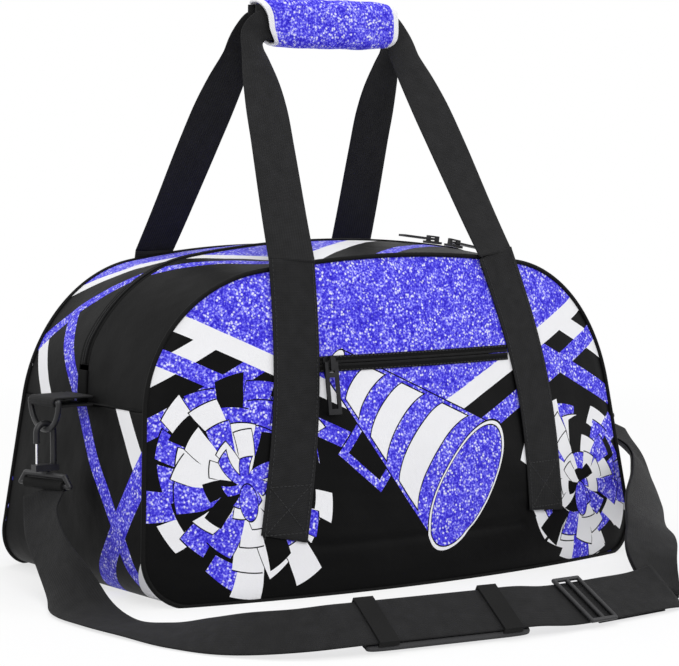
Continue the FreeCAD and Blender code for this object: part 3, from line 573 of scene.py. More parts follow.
@dataclass(frozen=True)
class Hardware:
    """Moulded or painted hard pieces with fine grain and rubbed spots."""

    name: str
    colour: "tuple[float, float, float]"
    metallic: float = 0.0
    roughness: float = 0.38
    grain: float = 1.6
    gloss: float = 0.3

    def material(self) -> bpy.types.Material:
        """Builds the material on Object coordinates."""
        shader = Shader(self.name)
        place = shader.axes()[0]
        grain = shader.noise(place, self.grain, 5.0)
        rubbed = shader.noise(place, 0.14, 3.0)
        worn = tuple(min(1.0, part * 1.7 + 0.006) for part in self.colour) + (1.0,)
        shader.bump(grain * 0.05, 1.0 * MM, 0.35)
        shader.drive(Base_Color=shader.mix(rubbed, self.colour + (1.0,), worn), Metallic=self.metallic,
                     Roughness=grain * 0.14 + rubbed * 0.12 + (self.roughness - 0.13),
                     Specular_IOR_Level=self.gloss)
        return shader.material


def rimmed_pad(edge: float = 0.86) -> bpy.types.Material:
    """Padded cloth, black on its faces and grey along its long rims."""
    shader = Shader("shoulder_pad_cloth")
    across = shader.axes(uv=True)[2]
    place, x, y, z = shader.axes()
    clouds = shader.noise(place, 0.08, 4.0)
    rim = abs(across) > edge / MM
    shader.bump(weave(shader, x + y, z, 1.1) * 0.08 + clouds * 0.5, 1.0 * MM, 0.6)
    shader.drive(Base_Color=shader.mix(rim, (0.010, 0.010, 0.011, 1.0), (0.050, 0.050, 0.052, 1.0)),
                 Roughness=clouds * 0.12 + 0.72, Specular_IOR_Level=0.1)
    return shader.material


class Wardrobe:
    """Every finish, made once."""

    def __init__(self, wrap_half: float) -> None:
        """Builds the materials."""
        self.front = front_print(False)
        self.back = front_print(True)
        self.end = end_print()
        self.gusset = gusset_print()
        self.wrap = wrap_print(wrap_half)
        self.webbing = Webbing("black_webbing").material()
        self.strap = Webbing("strap_webbing", 0.0095, 1.0, 1.6).material()
        self.tape = PlainCloth("zip_tape", 0.004, 0.8).material()
        self.lining = PlainCloth("lining_cloth", 0.012, 0.6, 0.7).material()
        self.pad = PlainCloth("pad_cloth", 0.010, 1.1).material()
        self.pad_face = rimmed_pad()
        self.binding = PlainCloth("seam_binding", 0.004, 0.9, 0.6).material()
        self.thread = Hardware("sewing_thread", (0.012, 0.012, 0.013), 0.0, 0.7, 3.0).material()
        self.lip = Webbing("zip_lip", 0.006, 0.9, 0.8).material()
        self.board = PlainCloth("base_board", 0.03, 1.5).material()
        self.plastic = Hardware("black_plastic", (0.009, 0.009, 0.010), 0.0, 0.40).material()
        self.painted = Hardware("black_painted_metal", (0.012, 0.012, 0.013), 0.6, 0.32).material()
        self.wire = Hardware("bright_wire", (0.62, 0.62, 0.64), 1.0, 0.25).material()


# ---- Mesh building ---------------------------------------------------------------------
def add_mesh(name: str, points: Array, faces: Sequence[Sequence[int]], uv: Optional[Array] = None,
             smooth: bool = True) -> bpy.types.Object:
    """Makes an object from points and faces.

    Args:
        name: The piece's name.
        points: One row per point.
        faces: Corner lists.
        uv: One pair per point, in metres.
        smooth: Whether the faces shade smoothly.

    Returns:
        The object, linked to the scene.
    """
    mesh = bpy.data.meshes.new(name)
    mesh.from_pydata(np.asarray(points).tolist(), [], [list(face) for face in faces])
    if uv is not None:
        corners = np.zeros(len(mesh.loops), dtype=np.int32)
        mesh.loops.foreach_get("vertex_index", corners)
        layer = mesh.uv_layers.new(name="place")
        layer.data.foreach_set("uv", np.asarray(uv, dtype=np.float32)[corners].ravel())
    mesh.polygons.foreach_set("use_smooth", [smooth] * len(mesh.polygons))
    mesh.update()
    made = bpy.data.objects.new(name, mesh)
    bpy.context.scene.collection.objects.link(made)
    return made


def corners_of(grid: Array) -> Array:
    """Four point numbers for each cell of a grid of point numbers."""
    return np.stack([grid[:-1, :-1], grid[:-1, 1:], grid[1:, 1:], grid[1:, :-1]], axis=-1).reshape(-1, 4)


def sheet_faces(rows: int, columns: int, flip: bool = False, ring: bool = False) -> Array:
    """Quads of a grid of points stored row by row.

    Args:
        rows: Number of rows.
        columns: Points in a row.
        flip: Whether the faces turn the other way.
        ring: Whether each row closes on itself.

    Returns:
        Four corners per face.
    """
    grid = np.arange(rows * columns).reshape(rows, columns)
    if ring:
        grid = np.concatenate([grid, grid[:, :1]], axis=1)
    quads = corners_of(grid)
    return quads[:, ::-1] if flip else quads


def torus_faces(rows: int, columns: int) -> Array:
    """Quads of a grid that closes on itself both ways."""
    grid = np.arange(rows * columns).reshape(rows, columns)
    grid = np.concatenate([grid, grid[:1]], axis=0)
    return corners_of(np.concatenate([grid, grid[:, :1]], axis=1))


def through(points: Array, marks: Array, at: Array) -> Array:
    """Smooth curve through points.

    Each span is a cubic whose end slopes are the mean slopes of the neighbouring points.

    Args:
        points: One row per point.
        marks: Rising place of each point along the curve.
        at: Places to work out.

    Returns:
        One row per place.
    """
    slopes = np.gradient(points, marks, axis=0)
    index = np.clip(np.searchsorted(marks, at, side="right") - 1, 0, len(marks) - 2)
    span = (marks[index + 1] - marks[index])[:, None]
    share = ((at - marks[index]) / span[:, 0])[:, None]
    first = points[index] * (2 * share ** 3 - 3 * share ** 2 + 1)
    second = points[index + 1] * (3 * share ** 2 - 2 * share ** 3)
    leave = slopes[index] * span * (share ** 3 - 2 * share ** 2 + share)
    arrive = slopes[index + 1] * span * (share ** 3 - share ** 2)
    return first + second + leave + arrive


def unit(vectors: Array) -> Array:
    """Vectors scaled to length 1."""
    return vectors / np.maximum(np.linalg.norm(vectors, axis=-1, keepdims=True), 1e-9)


def lengths(points: Array) -> Array:
    """Distance walked along a line of points, from 0."""
    return np.concatenate([[0.0], np.cumsum(np.linalg.norm(np.diff(points, axis=0), axis=1))])


def rounded_strip(half_width: Array, thickness: float, cup: Array, ring: int = 20) -> "tuple[Array, Array]":
    """Cross sections of a flat band with rounded edges.

    A point at angle t lies at half-width times the signed square root of cos t across, and at half the
    thickness times the signed fourth root of sin t up, plus the cup, which lifts both edges like a parabola.

    Args:
        half_width: One per section.
        thickness: Thickness of the band.
        cup: Lift of the edges, one per section.
        ring: Points round a section.

    Returns:
        Distances across and up, one row per section.
    """
    angle = (np.arange(ring) + 0.5) / ring * 2 * np.pi
    share = np.sign(np.cos(angle)) * np.abs(np.cos(angle)) ** 0.55
    level = np.sign(np.sin(angle)) * np.abs(np.sin(angle)) ** 0.35
    across = half_width[:, None] * share[None, :]
    up = thickness / 2 * level[None, :] + cup[:, None] * share[None, :] ** 2
    return across, up


def band(name: str, centres: Array, sides: Array, half_width: "Array | float", thickness: float,
         cup: "Array | float" = 0.0, ring: int = 20) -> bpy.types.Object:
    """Band of webbing along a line.

    Args:
        name: The piece's name.
        centres: Points along the middle.
        sides: Width direction at each point.
        half_width: Half the width, one number or one per point.
        thickness: Thickness of the webbing.
        cup: How far the edges lift, one number or one per point.
        ring: Points round a section.

    Returns:
        The object, a closed band with a UV map of length and width.
    """
    count = len(centres)
    half = np.broadcast_to(np.asarray(half_width, dtype=float), (count,))
    lift = np.broadcast_to(np.asarray(cup, dtype=float), (count,))
    tangent = unit(np.gradient(centres, axis=0))
    side = unit(sides - (sides * tangent).sum(axis=1, keepdims=True) * tangent)
    normal = np.cross(tangent, side)
    across, up = rounded_strip(half, thickness, lift, ring)
    points = centres[:, None] + side[:, None] * across[..., None] + normal[:, None] * up[..., None]
    walked = lengths(centres)
    uv = np.stack([np.repeat(walked[:, None], ring, axis=1), across], axis=-1).reshape(-1, 2)
    faces = sheet_faces(count, ring, ring=True).tolist()
    faces.append(list(range(ring - 1, -1, -1)))
    faces.append(list(range((count - 1) * ring, count * ring)))
    return add_mesh(name, points.reshape(-1, 3), faces, uv)


def repeat(name: str, shape: "tuple[Array, list]", origins: Array, axes: Array) -> bpy.types.Object:
    """One small shape repeated at many places.

    Args:
        name: The piece's name.
        shape: Points and faces of the shape round its own origin.
        origins: One point per copy.
        axes: Three directions per copy, for the shape's X, Y and Z.

    Returns:
        The object.
    """
    local, faces = shape
    points = origins[:, None] + np.einsum("pk,nkc->npc", local, axes)
    shift = np.arange(len(origins)) * len(local)
    every = [[corner + start for corner in face] for start in shift.tolist() for face in faces]
    return add_mesh(name, points.reshape(-1, 3), every)


def bean(length: float, width: float, height: float) -> "tuple[Array, list]":
    """Small rounded bar: three six-sided rings that narrow at both ends, with caps."""
    angle = np.arange(6) / 6 * 2 * np.pi
    rows = []
    for place, size in ((-0.5, 0.45), (-0.28, 1.0), (0.28, 1.0), (0.5, 0.45)):
        rows.append(np.stack([np.full(6, place * length), np.cos(angle) * width / 2 * size,
                              np.sin(angle) * height / 2 * size], axis=1))
    faces = sheet_faces(4, 6, flip=True, ring=True).tolist()
    faces.append([0, 1, 2, 3, 4, 5])
    faces.append([23, 22, 21, 20, 19, 18])
    return np.concatenate(rows), faces


def dress(piece: bpy.types.Object, body: str, material: bpy.types.Material,
          nodes: Sequence[str] = ()) -> bpy.types.Object:
    """Gives a finished piece its material, body and the nodes it stands for."""
    piece.data.materials.clear()
    piece.data.materials.append(material)
    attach(piece, body)
    if nodes:
        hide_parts(*nodes)
    log.info("%s rides on %s: %d faces", piece.name, body, len(piece.data.polygons))
    return piece


def thicken(piece: bpy.types.Object, thickness: float, inner: bpy.types.Material) -> None:
    """Gives a sheet of cloth its thickness inward, with the lining's finish inside."""
    piece.data.materials.append(inner)
    solid = piece.modifiers.new("thickness", "SOLIDIFY")
    solid.thickness = thickness
    solid.offset = -1.0
    solid.material_offset = 1


def stitches(name: str, line: Array, side: Array, pitch: float = 3.2 * MM) -> bpy.types.Object:
    """Row of stitches along a line of points.

    Args:
        name: The piece's name.
        line: Points on the cloth.
        side: Direction across the row, one per point.
        pitch: Spacing of the stitches.

    Returns:
        The object.
    """
    walked = lengths(line)
    at = np.arange(pitch / 2, walked[-1], pitch)
    origin = np.stack([np.interp(at, walked, line[:, axis]) for axis in range(3)], axis=1)
    ahead = np.stack([np.interp(at + 0.3 * MM, walked, line[:, axis]) for axis in range(3)], axis=1)
    tangent = unit(ahead - origin + 1e-9)
    across = np.stack([np.interp(at, walked, side[:, axis]) for axis in range(3)], axis=1)
    normal = unit(np.cross(tangent, across))
    axes = np.stack([tangent, unit(np.cross(normal, tangent)), normal], axis=1)
    return repeat(name, bean(pitch * 0.72, 0.7 * MM, 0.5 * MM), origin, axes)


# ---- Shape of the shell ------------------------------------------------------------------
@dataclass(frozen=True)
class Shell:
    """Arch outline of the big panels and how they bow and lean."""

    width: float = 440 * MM
    height: float = 232 * MM
    depth: float = 210 * MM
    lean: float = 0.17
    bow: float = 30 * MM
    side_lean: float = math.radians(6.0)
    shoulder: float = 107 * MM
    crown: float = 790 * MM
    corner: float = 30 * MM
    rise: float = 7 * MM
    rise_run: float = 45 * MM
    seam_height: float = 130 * MM
    seam_depth: float = 2.3 * MM

    def marks(self) -> "dict[str, float]":
        """Centres and arc lengths of the outline's pieces."""
        cos, sin = math.cos(self.side_lean), math.sin(self.side_lean)
        reach = self.width / 2 * cos
        drop = self.height - self.crown
        base = ((reach - self.shoulder) * cos, (reach - self.shoulder) * sin)
        offset = (base[0], base[1] - drop)
        along = offset[1] * cos - offset[0] * sin
        room = (self.crown - self.shoulder) ** 2 - offset[0] ** 2 - offset[1] ** 2
        step = -along + math.sqrt(along ** 2 + room)
        centre = (base[0] - step * sin, base[1] + step * cos)
        turn = math.atan2(centre[0], centre[1] - drop)
        side_angle = math.pi / 2 - self.side_lean
        corner_x = (reach - self.corner - self.corner * sin) / cos
        top = (centre[0] + self.shoulder * cos, centre[1] + self.shoulder * sin)
        low = (corner_x + self.corner * cos, self.corner + self.corner * sin)
        first = self.crown * turn
        second = first + self.shoulder * (side_angle - turn)
        third = second + math.hypot(low[0] - top[0], low[1] - top[1])
        last = third + self.corner * (math.pi - side_angle)
        seam = second + (top[1] - self.seam_height) / cos
        return {"drop": drop, "cx": centre[0], "cz": centre[1], "turn": turn, "corner_x": corner_x,
                "tx": top[0], "tz": top[1], "first": first, "second": second, "third": third,
                "last": last, "seam": seam, "side_angle": side_angle}

    def at(self, station: Array, offset: "Array | float" = 0.0) -> "tuple[Array, Array]":
        """Points of the outline: crown arc, shoulder arc, leaning line, corner arc, flat bottom.

        Args:
            station: Arc length from the crown's middle, negative to the left.
            offset: Distance outward.

        Returns:
            x and z of each point.
        """
        m = self.marks()
        run = np.abs(station)
        side = np.where(station < 0, -1.0, 1.0)
        offset = np.broadcast_to(offset, run.shape)
        cos, sin = math.cos(self.side_lean), math.sin(self.side_lean)
        tests = [run <= m[mark] for mark in ("first", "second", "third", "last")]
        over = run / self.crown
        round_shoulder = m["turn"] + (run - m["first"]) / self.shoulder
        down = run - m["second"]
        round_corner = m["side_angle"] + (run - m["third"]) / self.corner
        crown, shoulder, corner = self.crown + offset, self.shoulder + offset, self.corner + offset
        x = np.select(tests, [crown * np.sin(over), m["cx"] + shoulder * np.sin(round_shoulder),
                              m["tx"] + down * sin + offset * cos,
                              m["corner_x"] + corner * np.sin(round_corner)],
                      m["corner_x"] - (run - m["last"]))
        z = np.select(tests, [m["drop"] + crown * np.cos(over), m["cz"] + shoulder * np.cos(round_shoulder),
                              m["tz"] - down * cos + offset * sin,
                              self.corner + corner * np.cos(round_corner)], -offset)
        return side * x, z

    def out(self, x: Array, z: Array) -> Array:
        """Distance of a big panel's face from the middle plane: an arc in plan that leans in with height."""
        radius = (self.width ** 2 / 4 + self.bow ** 2) / (2 * self.bow)
        reach = np.clip(np.abs(x), 0, self.width / 2 + 10 * MM)
        arc = np.sqrt(radius ** 2 - reach ** 2) - (radius - self.bow)
        return self.depth / 2 - self.lean * z + arc

    def rise_at(self, station: Array) -> Array:
        """Height of the zip above the outline, smoothly from 0 at the end seams."""
        share = np.clip((self.marks()["seam"] - np.abs(station)) / self.rise_run, 0.0, 1.0)
        return self.rise * share ** 2 * (3 - 2 * share)


def ripple(first: Array, second: Array, scale: float, seed: float) -> Array:
    """Soft folds: five sine waves in turned directions, each shorter and lower than the last."""
    total = np.zeros_like(first)
    for octave in range(5):
        turn = seed + octave * 2.4
        size = scale / 1.6 ** octave
        wave = first * math.cos(turn) + second * math.sin(turn)
        wave = wave + 0.25 * size * np.sin(second / size + seed * octave)
        total = total + np.sin(wave / size * 2 * np.pi + seed * 1.7 * octave) / 1.7 ** octave
    return total / 2.4


@dataclass
class BagBody:
    """Printed shell: big panels, ends, bottom, top gusset, seam bindings and lining."""

    shell: Shell
    looks: Wardrobe
    cloth: float = 1.8 * MM
    edge_drop: float = 2.2 * MM
    edge_run: float = 7 * MM
    crease: float = 0.9 * MM
    end_bulge: float = 3.5 * MM
    binding_radius: float = 1.7 * MM
    binding_inset: float = 0.3 * MM
    binding_depth: float = 1.9 * MM
    zip_half: float = 6.2 * MM
    slot_half: float = 4.0 * MM
    slot_length: float = 76 * MM
    slot_height: float = 158 * MM
    pocket_bottom: float = 34 * MM
    pocket_half: float = 95 * MM
    bend_start: float = 88 * MM
    bend_end: float = 10 * MM
    bend_height: float = 200 * MM

    def build(self) -> None:
        """Builds every piece of the shell."""
        for side in Side:
            self.big_panel(side)
            self.gusset(side)
            self.binding(side)
        for end in End:
            self.end_panel(end)
        self.bottom()
        self.pouch()

    def limits(self, x: Array) -> "tuple[Array, Array]":
        """Lowest and highest z of the outline at each x, read off a dense line of stations."""
        m = self.shell.marks()
        station = np.linspace(0.0, m["last"], 1600)
        px, pz = self.shell.at(station)
        widest = int(np.argmax(px))
        high = np.interp(np.abs(x), px[:widest + 1], pz[:widest + 1])
        low = np.interp(np.abs(x), px[widest:][::-1], pz[widest:][::-1], left=0.0)
        return np.where(np.abs(x) < m["corner_x"], 0.0, low), high

    def edge_distance(self, x: Array, z: Array) -> Array:
        """Distance from each point to the nearest point of the outline."""
        m = self.shell.marks()
        station = np.linspace(-m["last"], m["last"], 700)
        px, pz = self.shell.at(station)
        base = np.linspace(-m["corner_x"], m["corner_x"], 120)
        px = np.concatenate([px, base])
        pz = np.concatenate([pz, np.zeros_like(base)])
        gap = np.hypot(x.reshape(-1, 1) - px[None, :], z.reshape(-1, 1) - pz[None, :])
        return gap.min(axis=1).reshape(x.shape)

    def big_panel(self, side: Side) -> None:
        """Front or back panel: columns between the outline's lowest and highest z.

        The face is the bowed, leaning surface, drawn in near its edge by a bell curve of the distance to
        the outline, with soft folds that fade at the edge.

        Args:
            side: Which panel.
        """
        m = self.shell.marks()
        widest = m["corner_x"] + self.shell.corner
        spread = np.sin(np.linspace(-np.pi / 2, np.pi / 2, 221)) * (widest - 0.05 * MM)
        low, high = self.limits(spread)
        rows = (1 - np.cos(np.linspace(0, np.pi, 141))) / 2
        x = np.repeat(spread[:, None], len(rows), axis=1)
        z = low[:, None] + (high - low)[:, None] * rows[None, :]
        edge = self.edge_distance(x, z)
        draw = self.edge_drop * np.exp(-(edge / self.edge_run) ** 2)
        soft = np.clip(edge / (25 * MM), 0, 1)
        folds = ripple(x, z, 90 * MM, 1.3 if side is Side.FRONT else 4.1) * self.crease * soft
        if side is Side.FRONT:
            pocket = np.exp(-((z - self.pocket_bottom) / (3.0 * MM)) ** 2) * (np.abs(x) < self.pocket_half)
            zip_line = np.exp(-((z - self.slot_height) / (8 * MM)) ** 2) * (np.abs(x) < self.slot_length)
            folds = folds * (1 - zip_line) - pocket * 0.9 * MM
        out = self.shell.out(x, z) - draw + folds
        points = np.stack([x, side.value * out, z], axis=-1).reshape(-1, 3)
        faces = sheet_faces(len(spread), len(rows), flip=side is Side.FRONT)
        if side is Side.FRONT:
            across, _, up = np.moveaxis(points[faces], -1, 0)
            inside = (np.abs(across) < self.slot_length) & (np.abs(up - self.slot_height) < self.slot_half)
            faces = faces[~inside.all(axis=1)]
        name = side.name.lower()
        piece = add_mesh(name + "_panel_cloth", points, faces)
        dress(piece, "bag", self.looks.front if side is Side.FRONT else self.looks.back,
              [name + "_panel"])
        thicken(piece, self.cloth, self.looks.lining)

    def strip(self, name: str, station: Array, share: Array, offset: Callable[[Array, Array], Array],
              flip: bool) -> bpy.types.Object:
        """Shell band between the big panels.

        Args:
            name: The piece's name.
            station: Stations along the outline.
            share: Places across, -1 at the front panel to 1 at the back.
            offset: Gives the outward distance for station and share.
            flip: Whether the faces turn the other way.

        Returns:
            The object, with station and y as its UV map.
        """
        run = np.repeat(station[:, None], len(share), axis=1)
        part = np.repeat(share[None, :], len(station), axis=0)
        x, z = self.shell.at(run, offset(run, part))
        y = part * (self.shell.out(x, z) - self.shell.seam_depth)
        points = np.stack([x, y, z], axis=-1).reshape(-1, 3)
        uv = np.stack([run, y], axis=-1).reshape(-1, 2)
        return add_mesh(name, points, sheet_faces(len(station), len(share), flip=flip), uv)

    def end_panel(self, end: End) -> None:
        """End panel: bulges a little between its edges, and less towards the base corner."""
        m = self.shell.marks()
        station = np.linspace(m["seam"], m["last"], 90)
        share = np.sin(np.linspace(-np.pi / 2, np.pi / 2, 90))

        def offset(run: Array, part: Array) -> Array:
            down = np.clip((np.abs(run) - m["seam"]) / (m["third"] - m["seam"]), 0, 1)
            body = np.sin(np.clip(down, 0, 1) * np.pi)
            folds = ripple(run, part * 0.11, 80 * MM, 2.2 + end.value) * self.crease * body
            return self.end_bulge * body * (1 - part ** 2) + folds * (1 - part ** 4) - 0.2 * MM

        name = end.name.lower()
        piece = self.strip(name + "_end_cloth", station * end.value, share, offset, end is End.RIGHT)
        dress(piece, "bag", self.looks.end, [name + "_end_panel"])
        thicken(piece, self.cloth, self.looks.lining)

    def bottom(self) -> None:
        """Flat bottom between the base corners, resting on the floor."""
        m = self.shell.marks()
        station = m["last"] + np.linspace(0.3 * MM, 2 * m["corner_x"] - 0.3 * MM, 90)
        share = np.linspace(-1, 1, 50)
        piece = self.strip("bottom_cloth", station, share, lambda run, part: np.zeros_like(run), True)
        dress(piece, "bag", self.looks.binding, ["bottom_panel"])
        thicken(piece, self.cloth, self.looks.lining)
        dress_node("base_board", self.looks.board)

    def gusset(self, side: Side) -> None:
        """Half of the top gusset: from the panel's seam up to the zip, sagging slightly between.

        Args:
            side: Which half.
        """
        m = self.shell.marks()
        station = np.linspace(-m["seam"] + 0.3 * MM, m["seam"] - 0.3 * MM, 221)
        share = np.sin(np.linspace(0, np.pi / 2, 40))
        run = np.repeat(station[:, None], len(share), axis=1)
        part = np.repeat(share[None, :], len(station), axis=0)
        rise = self.shell.rise_at(run)
        folds = ripple(run, part * 0.09, 70 * MM, 0.7 + side.value) * 0.5 * self.crease
        lift = rise * part + np.sin(part * np.pi) * (folds + 0.6 * MM) - 0.4 * MM * (1 - part)
        x, z = self.shell.at(run, lift)
        seam = self.shell.out(x, z) - self.shell.seam_depth
        y = side.value * (seam * (1 - part) + (self.zip_half + 0.3 * MM) * part)
        points = np.stack([x, y, z], axis=-1).reshape(-1, 3)
        uv = np.stack([run, y], axis=-1).reshape(-1, 2)
        faces = sheet_faces(len(station), len(share), flip=side is Side.FRONT)
        name = side.name.lower()
        piece = add_mesh("gusset_%s_cloth" % name, points, faces, uv)
        piece.data.materials.append(self.looks.gusset)
        thicken(piece, self.cloth, self.looks.lining)
        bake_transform(piece)
        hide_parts("gusset_" + name)
        log.info("%s bends from the bag to the zip", piece.name)

    def binding(self, side: Side) -> None:
        """Corded seam round a big panel: a round bead carried along the outline."""
        m = self.shell.marks()
        total = 2 * (m["last"] + m["corner_x"])
        station = np.linspace(-total / 2, total / 2, 520, endpoint=False)
        x, z = self.shell.at(station, -self.binding_inset)
        centres = np.stack([x, side.value * (self.shell.out(x, z) - self.binding_depth), z], axis=1)
        angle = np.arange(10) / 10 * 2 * np.pi
        tangent = unit(np.roll(centres, -1, axis=0) - np.roll(centres, 1, axis=0))
        outward = np.array([0.0, side.value, 0.0])
        first = unit(np.cross(tangent, outward))
        second = np.cross(first, tangent)
        cos, sin = np.cos(angle)[None, :, None], np.sin(angle)[None, :, None]
        ring = first[:, None] * cos + second[:, None] * sin
        points = (centres[:, None] + ring * self.binding_radius).reshape(-1, 3)
        piece = add_mesh("seam_cord_" + side.name.lower(), points, torus_faces(len(station), 10))
        close_up(piece)
        dress(piece, "bag", self.looks.binding)

    def pouch(self) -> None:
        """Front pocket's pouch: a flat bag behind the slot, rounded at its lower corners."""
        low, high = self.pocket_bottom + 0.6 * MM, self.slot_height + 11.4 * MM
        across = np.linspace(-1, 1, 60)
        up = np.linspace(0, 1, 50)
        u, v = np.meshgrid(across, up, indexing="ij")
        x = u * (self.pocket_half + 0.4 * MM)
        z = low + (high - low) * v
        inset = np.clip(1 - np.abs(u) ** 10, 0, 1) * np.clip(1 - np.abs(2 * v - 1) ** 10, 0, 1)
        deep = 2.6 * MM + 12.8 * MM * inset ** 0.5
        back = np.stack([x, deep - self.shell.out(x, z), z], axis=-1).reshape(-1, 3)
        piece = add_mesh("pocket_pouch", back, sheet_faces(60, 50, flip=True))
        dress(piece, "bag", self.looks.lining, ["pocket_lining"])
        thicken(piece, 0.8 * MM, self.looks.lining)


def close_up(piece: bpy.types.Object, join: float = 0.0) -> None:
    """Turns every face of a closed mesh outward, after joining points nearer than a distance, if any."""
    work = bmesh.new()
    work.from_mesh(piece.data)
    if join:
        bmesh.ops.remove_doubles(work, verts=work.verts, dist=join)
    bmesh.ops.recalc_face_normals(work, faces=work.faces)
    work.to_mesh(piece.data)
    work.free()


def dress_node(node: str, material: bpy.types.Material) -> None:
    """Gives a CAD node, whose shape is right, a better material."""
    shown = bpy.data.objects[node]
    shown.data.materials.clear()
    shown.data.materials.append(material)
    log.info("%s keeps its shape", node)


@dataclass
class Zips:
    """Main zip with its tapes, lips, end tabs and sliders, and the pocket zip."""

    shell: Shell
    looks: Wardrobe
    half_width: float = 6.2 * MM
    end_length: float = 20 * MM
    end_lap: float = 2.5 * MM
    end_gap: float = 6 * MM
    pocket_height: float = 158 * MM
    pocket_half: float = 78 * MM
    tuck: float = 15 * MM
    pocket_tape: float = 11 * MM

    def build(self) -> None:
        """Builds both zips."""
        for side in Side:
            self.tape(side)
            self.lip(side)
        for end in End:
            self.end_tab(end)
        self.pocket()
        for node in ("main_slider_left", "main_slider_right", "main_pull_left", "main_pull_right",
                     "pocket_slider", "pocket_pull"):
            dress_node(node, self.looks.painted)

    def line(self, y: float, lift: float, reach: float, count: int) -> Array:
        """Points along the zip at a distance from the middle plane."""
        station = np.linspace(-reach, reach, count)
        x, z = self.shell.at(station, self.shell.rise_at(station) + lift)
        return np.stack([x, np.full_like(x, y), z], axis=1)

    def reach(self) -> float:
        """Station where the moving part of the zip ends."""
        return self.shell.marks()["seam"] - self.end_length - self.end_gap

    def tape(self, side: Side) -> None:
        """Half of the tape: a flat band along the zip."""
        middle = side.value * (self.half_width + 0.2 * MM) / 2
        centres = self.line(middle, -0.3 * MM, self.reach(), 180)
        sides = np.tile([0.0, 1.0, 0.0], (len(centres), 1))
        name = side.name.lower()
        piece = band("zip_tape_%s_cloth" % name, centres, sides, (self.half_width - 0.2 * MM) / 2, 0.9 * MM)
        dress(piece, "lip_" + name, self.looks.tape, ["zip_tape_" + name])

    def lip(self, side: Side) -> None:
        """Half of the reversed coil: a smooth ribbed lip along the tape's edge."""
        centres = self.line(side.value * 1.35 * MM, 0.70 * MM, self.reach(), 240)
        sides = np.tile([0.0, 1.0, 0.0], (len(centres), 1))
        name = side.name.lower()
        piece = band("zip_lip_" + name, centres, sides, 1.15 * MM, 1.3 * MM, -0.25 * MM)
        dress(piece, "lip_" + name, self.looks.lip, ["zip_coil_" + name])

    def end_tab(self, end: End) -> None:
        """Folded cloth tab over one end of the zip."""
        seam = self.shell.marks()["seam"]
        station = np.linspace(seam - self.end_length - self.end_lap, seam - 0.4 * MM, 24) * end.value
        x, z = self.shell.at(station, self.shell.rise_at(station) + 0.3 * MM)
        centres = np.stack([x, np.zeros_like(x), z], axis=1)
        sides = np.tile([0.0, 1.0, 0.0], (len(centres), 1))
        name = end.name.lower()
        piece = band("zip_end_%s_cloth" % name, centres, sides, self.half_width, 2.0 * MM)
        dress(piece, "bag", self.looks.tape, ["zip_end_" + name])

    def pocket(self) -> None:
        """Pocket zip across the front: two tapes with a row of stitches each, and two closed lips.

        The rows start just under the left handle's edge and end tucked under the right one.
        """
        x = np.linspace(-self.pocket_half - 2 * MM, self.pocket_half + self.tuck, 90)

        def row(z: float, out: float) -> Array:
            height = np.full_like(x, z)
            return np.stack([x, -self.shell.out(x, height) - out, height], axis=1)

        sides = np.tile(unit(np.array([0.0, self.shell.lean, 1.0])), (len(x), 1))
        for name, shift in (("upper", 1.0), ("lower", -1.0)):
            half = (self.pocket_tape / 2 - 1.9 * MM) / 2
            centre = self.pocket_height + shift * (1.9 * MM + half)
            tape = band("pocket_tape_" + name, row(centre, 0.55 * MM), sides, half, 0.9 * MM)
            dress(tape, "bag", self.looks.tape, ["pocket_zip_tape"] if shift > 0 else [])
            sewn = self.pocket_height + shift * (self.pocket_tape / 2 - 0.9 * MM)
            seam = stitches("pocket_stitches_" + name, row(sewn, 1.1 * MM), sides)
            dress(seam, "bag", self.looks.thread)
            lip = band("pocket_lip_" + name, row(self.pocket_height + shift * 1.15 * MM, 0.5 * MM), sides,
                       1.0 * MM, 1.7 * MM, -0.2 * MM)
            dress(lip, "bag", self.looks.lip, ["pocket_zip_coil"] if shift > 0 else [])


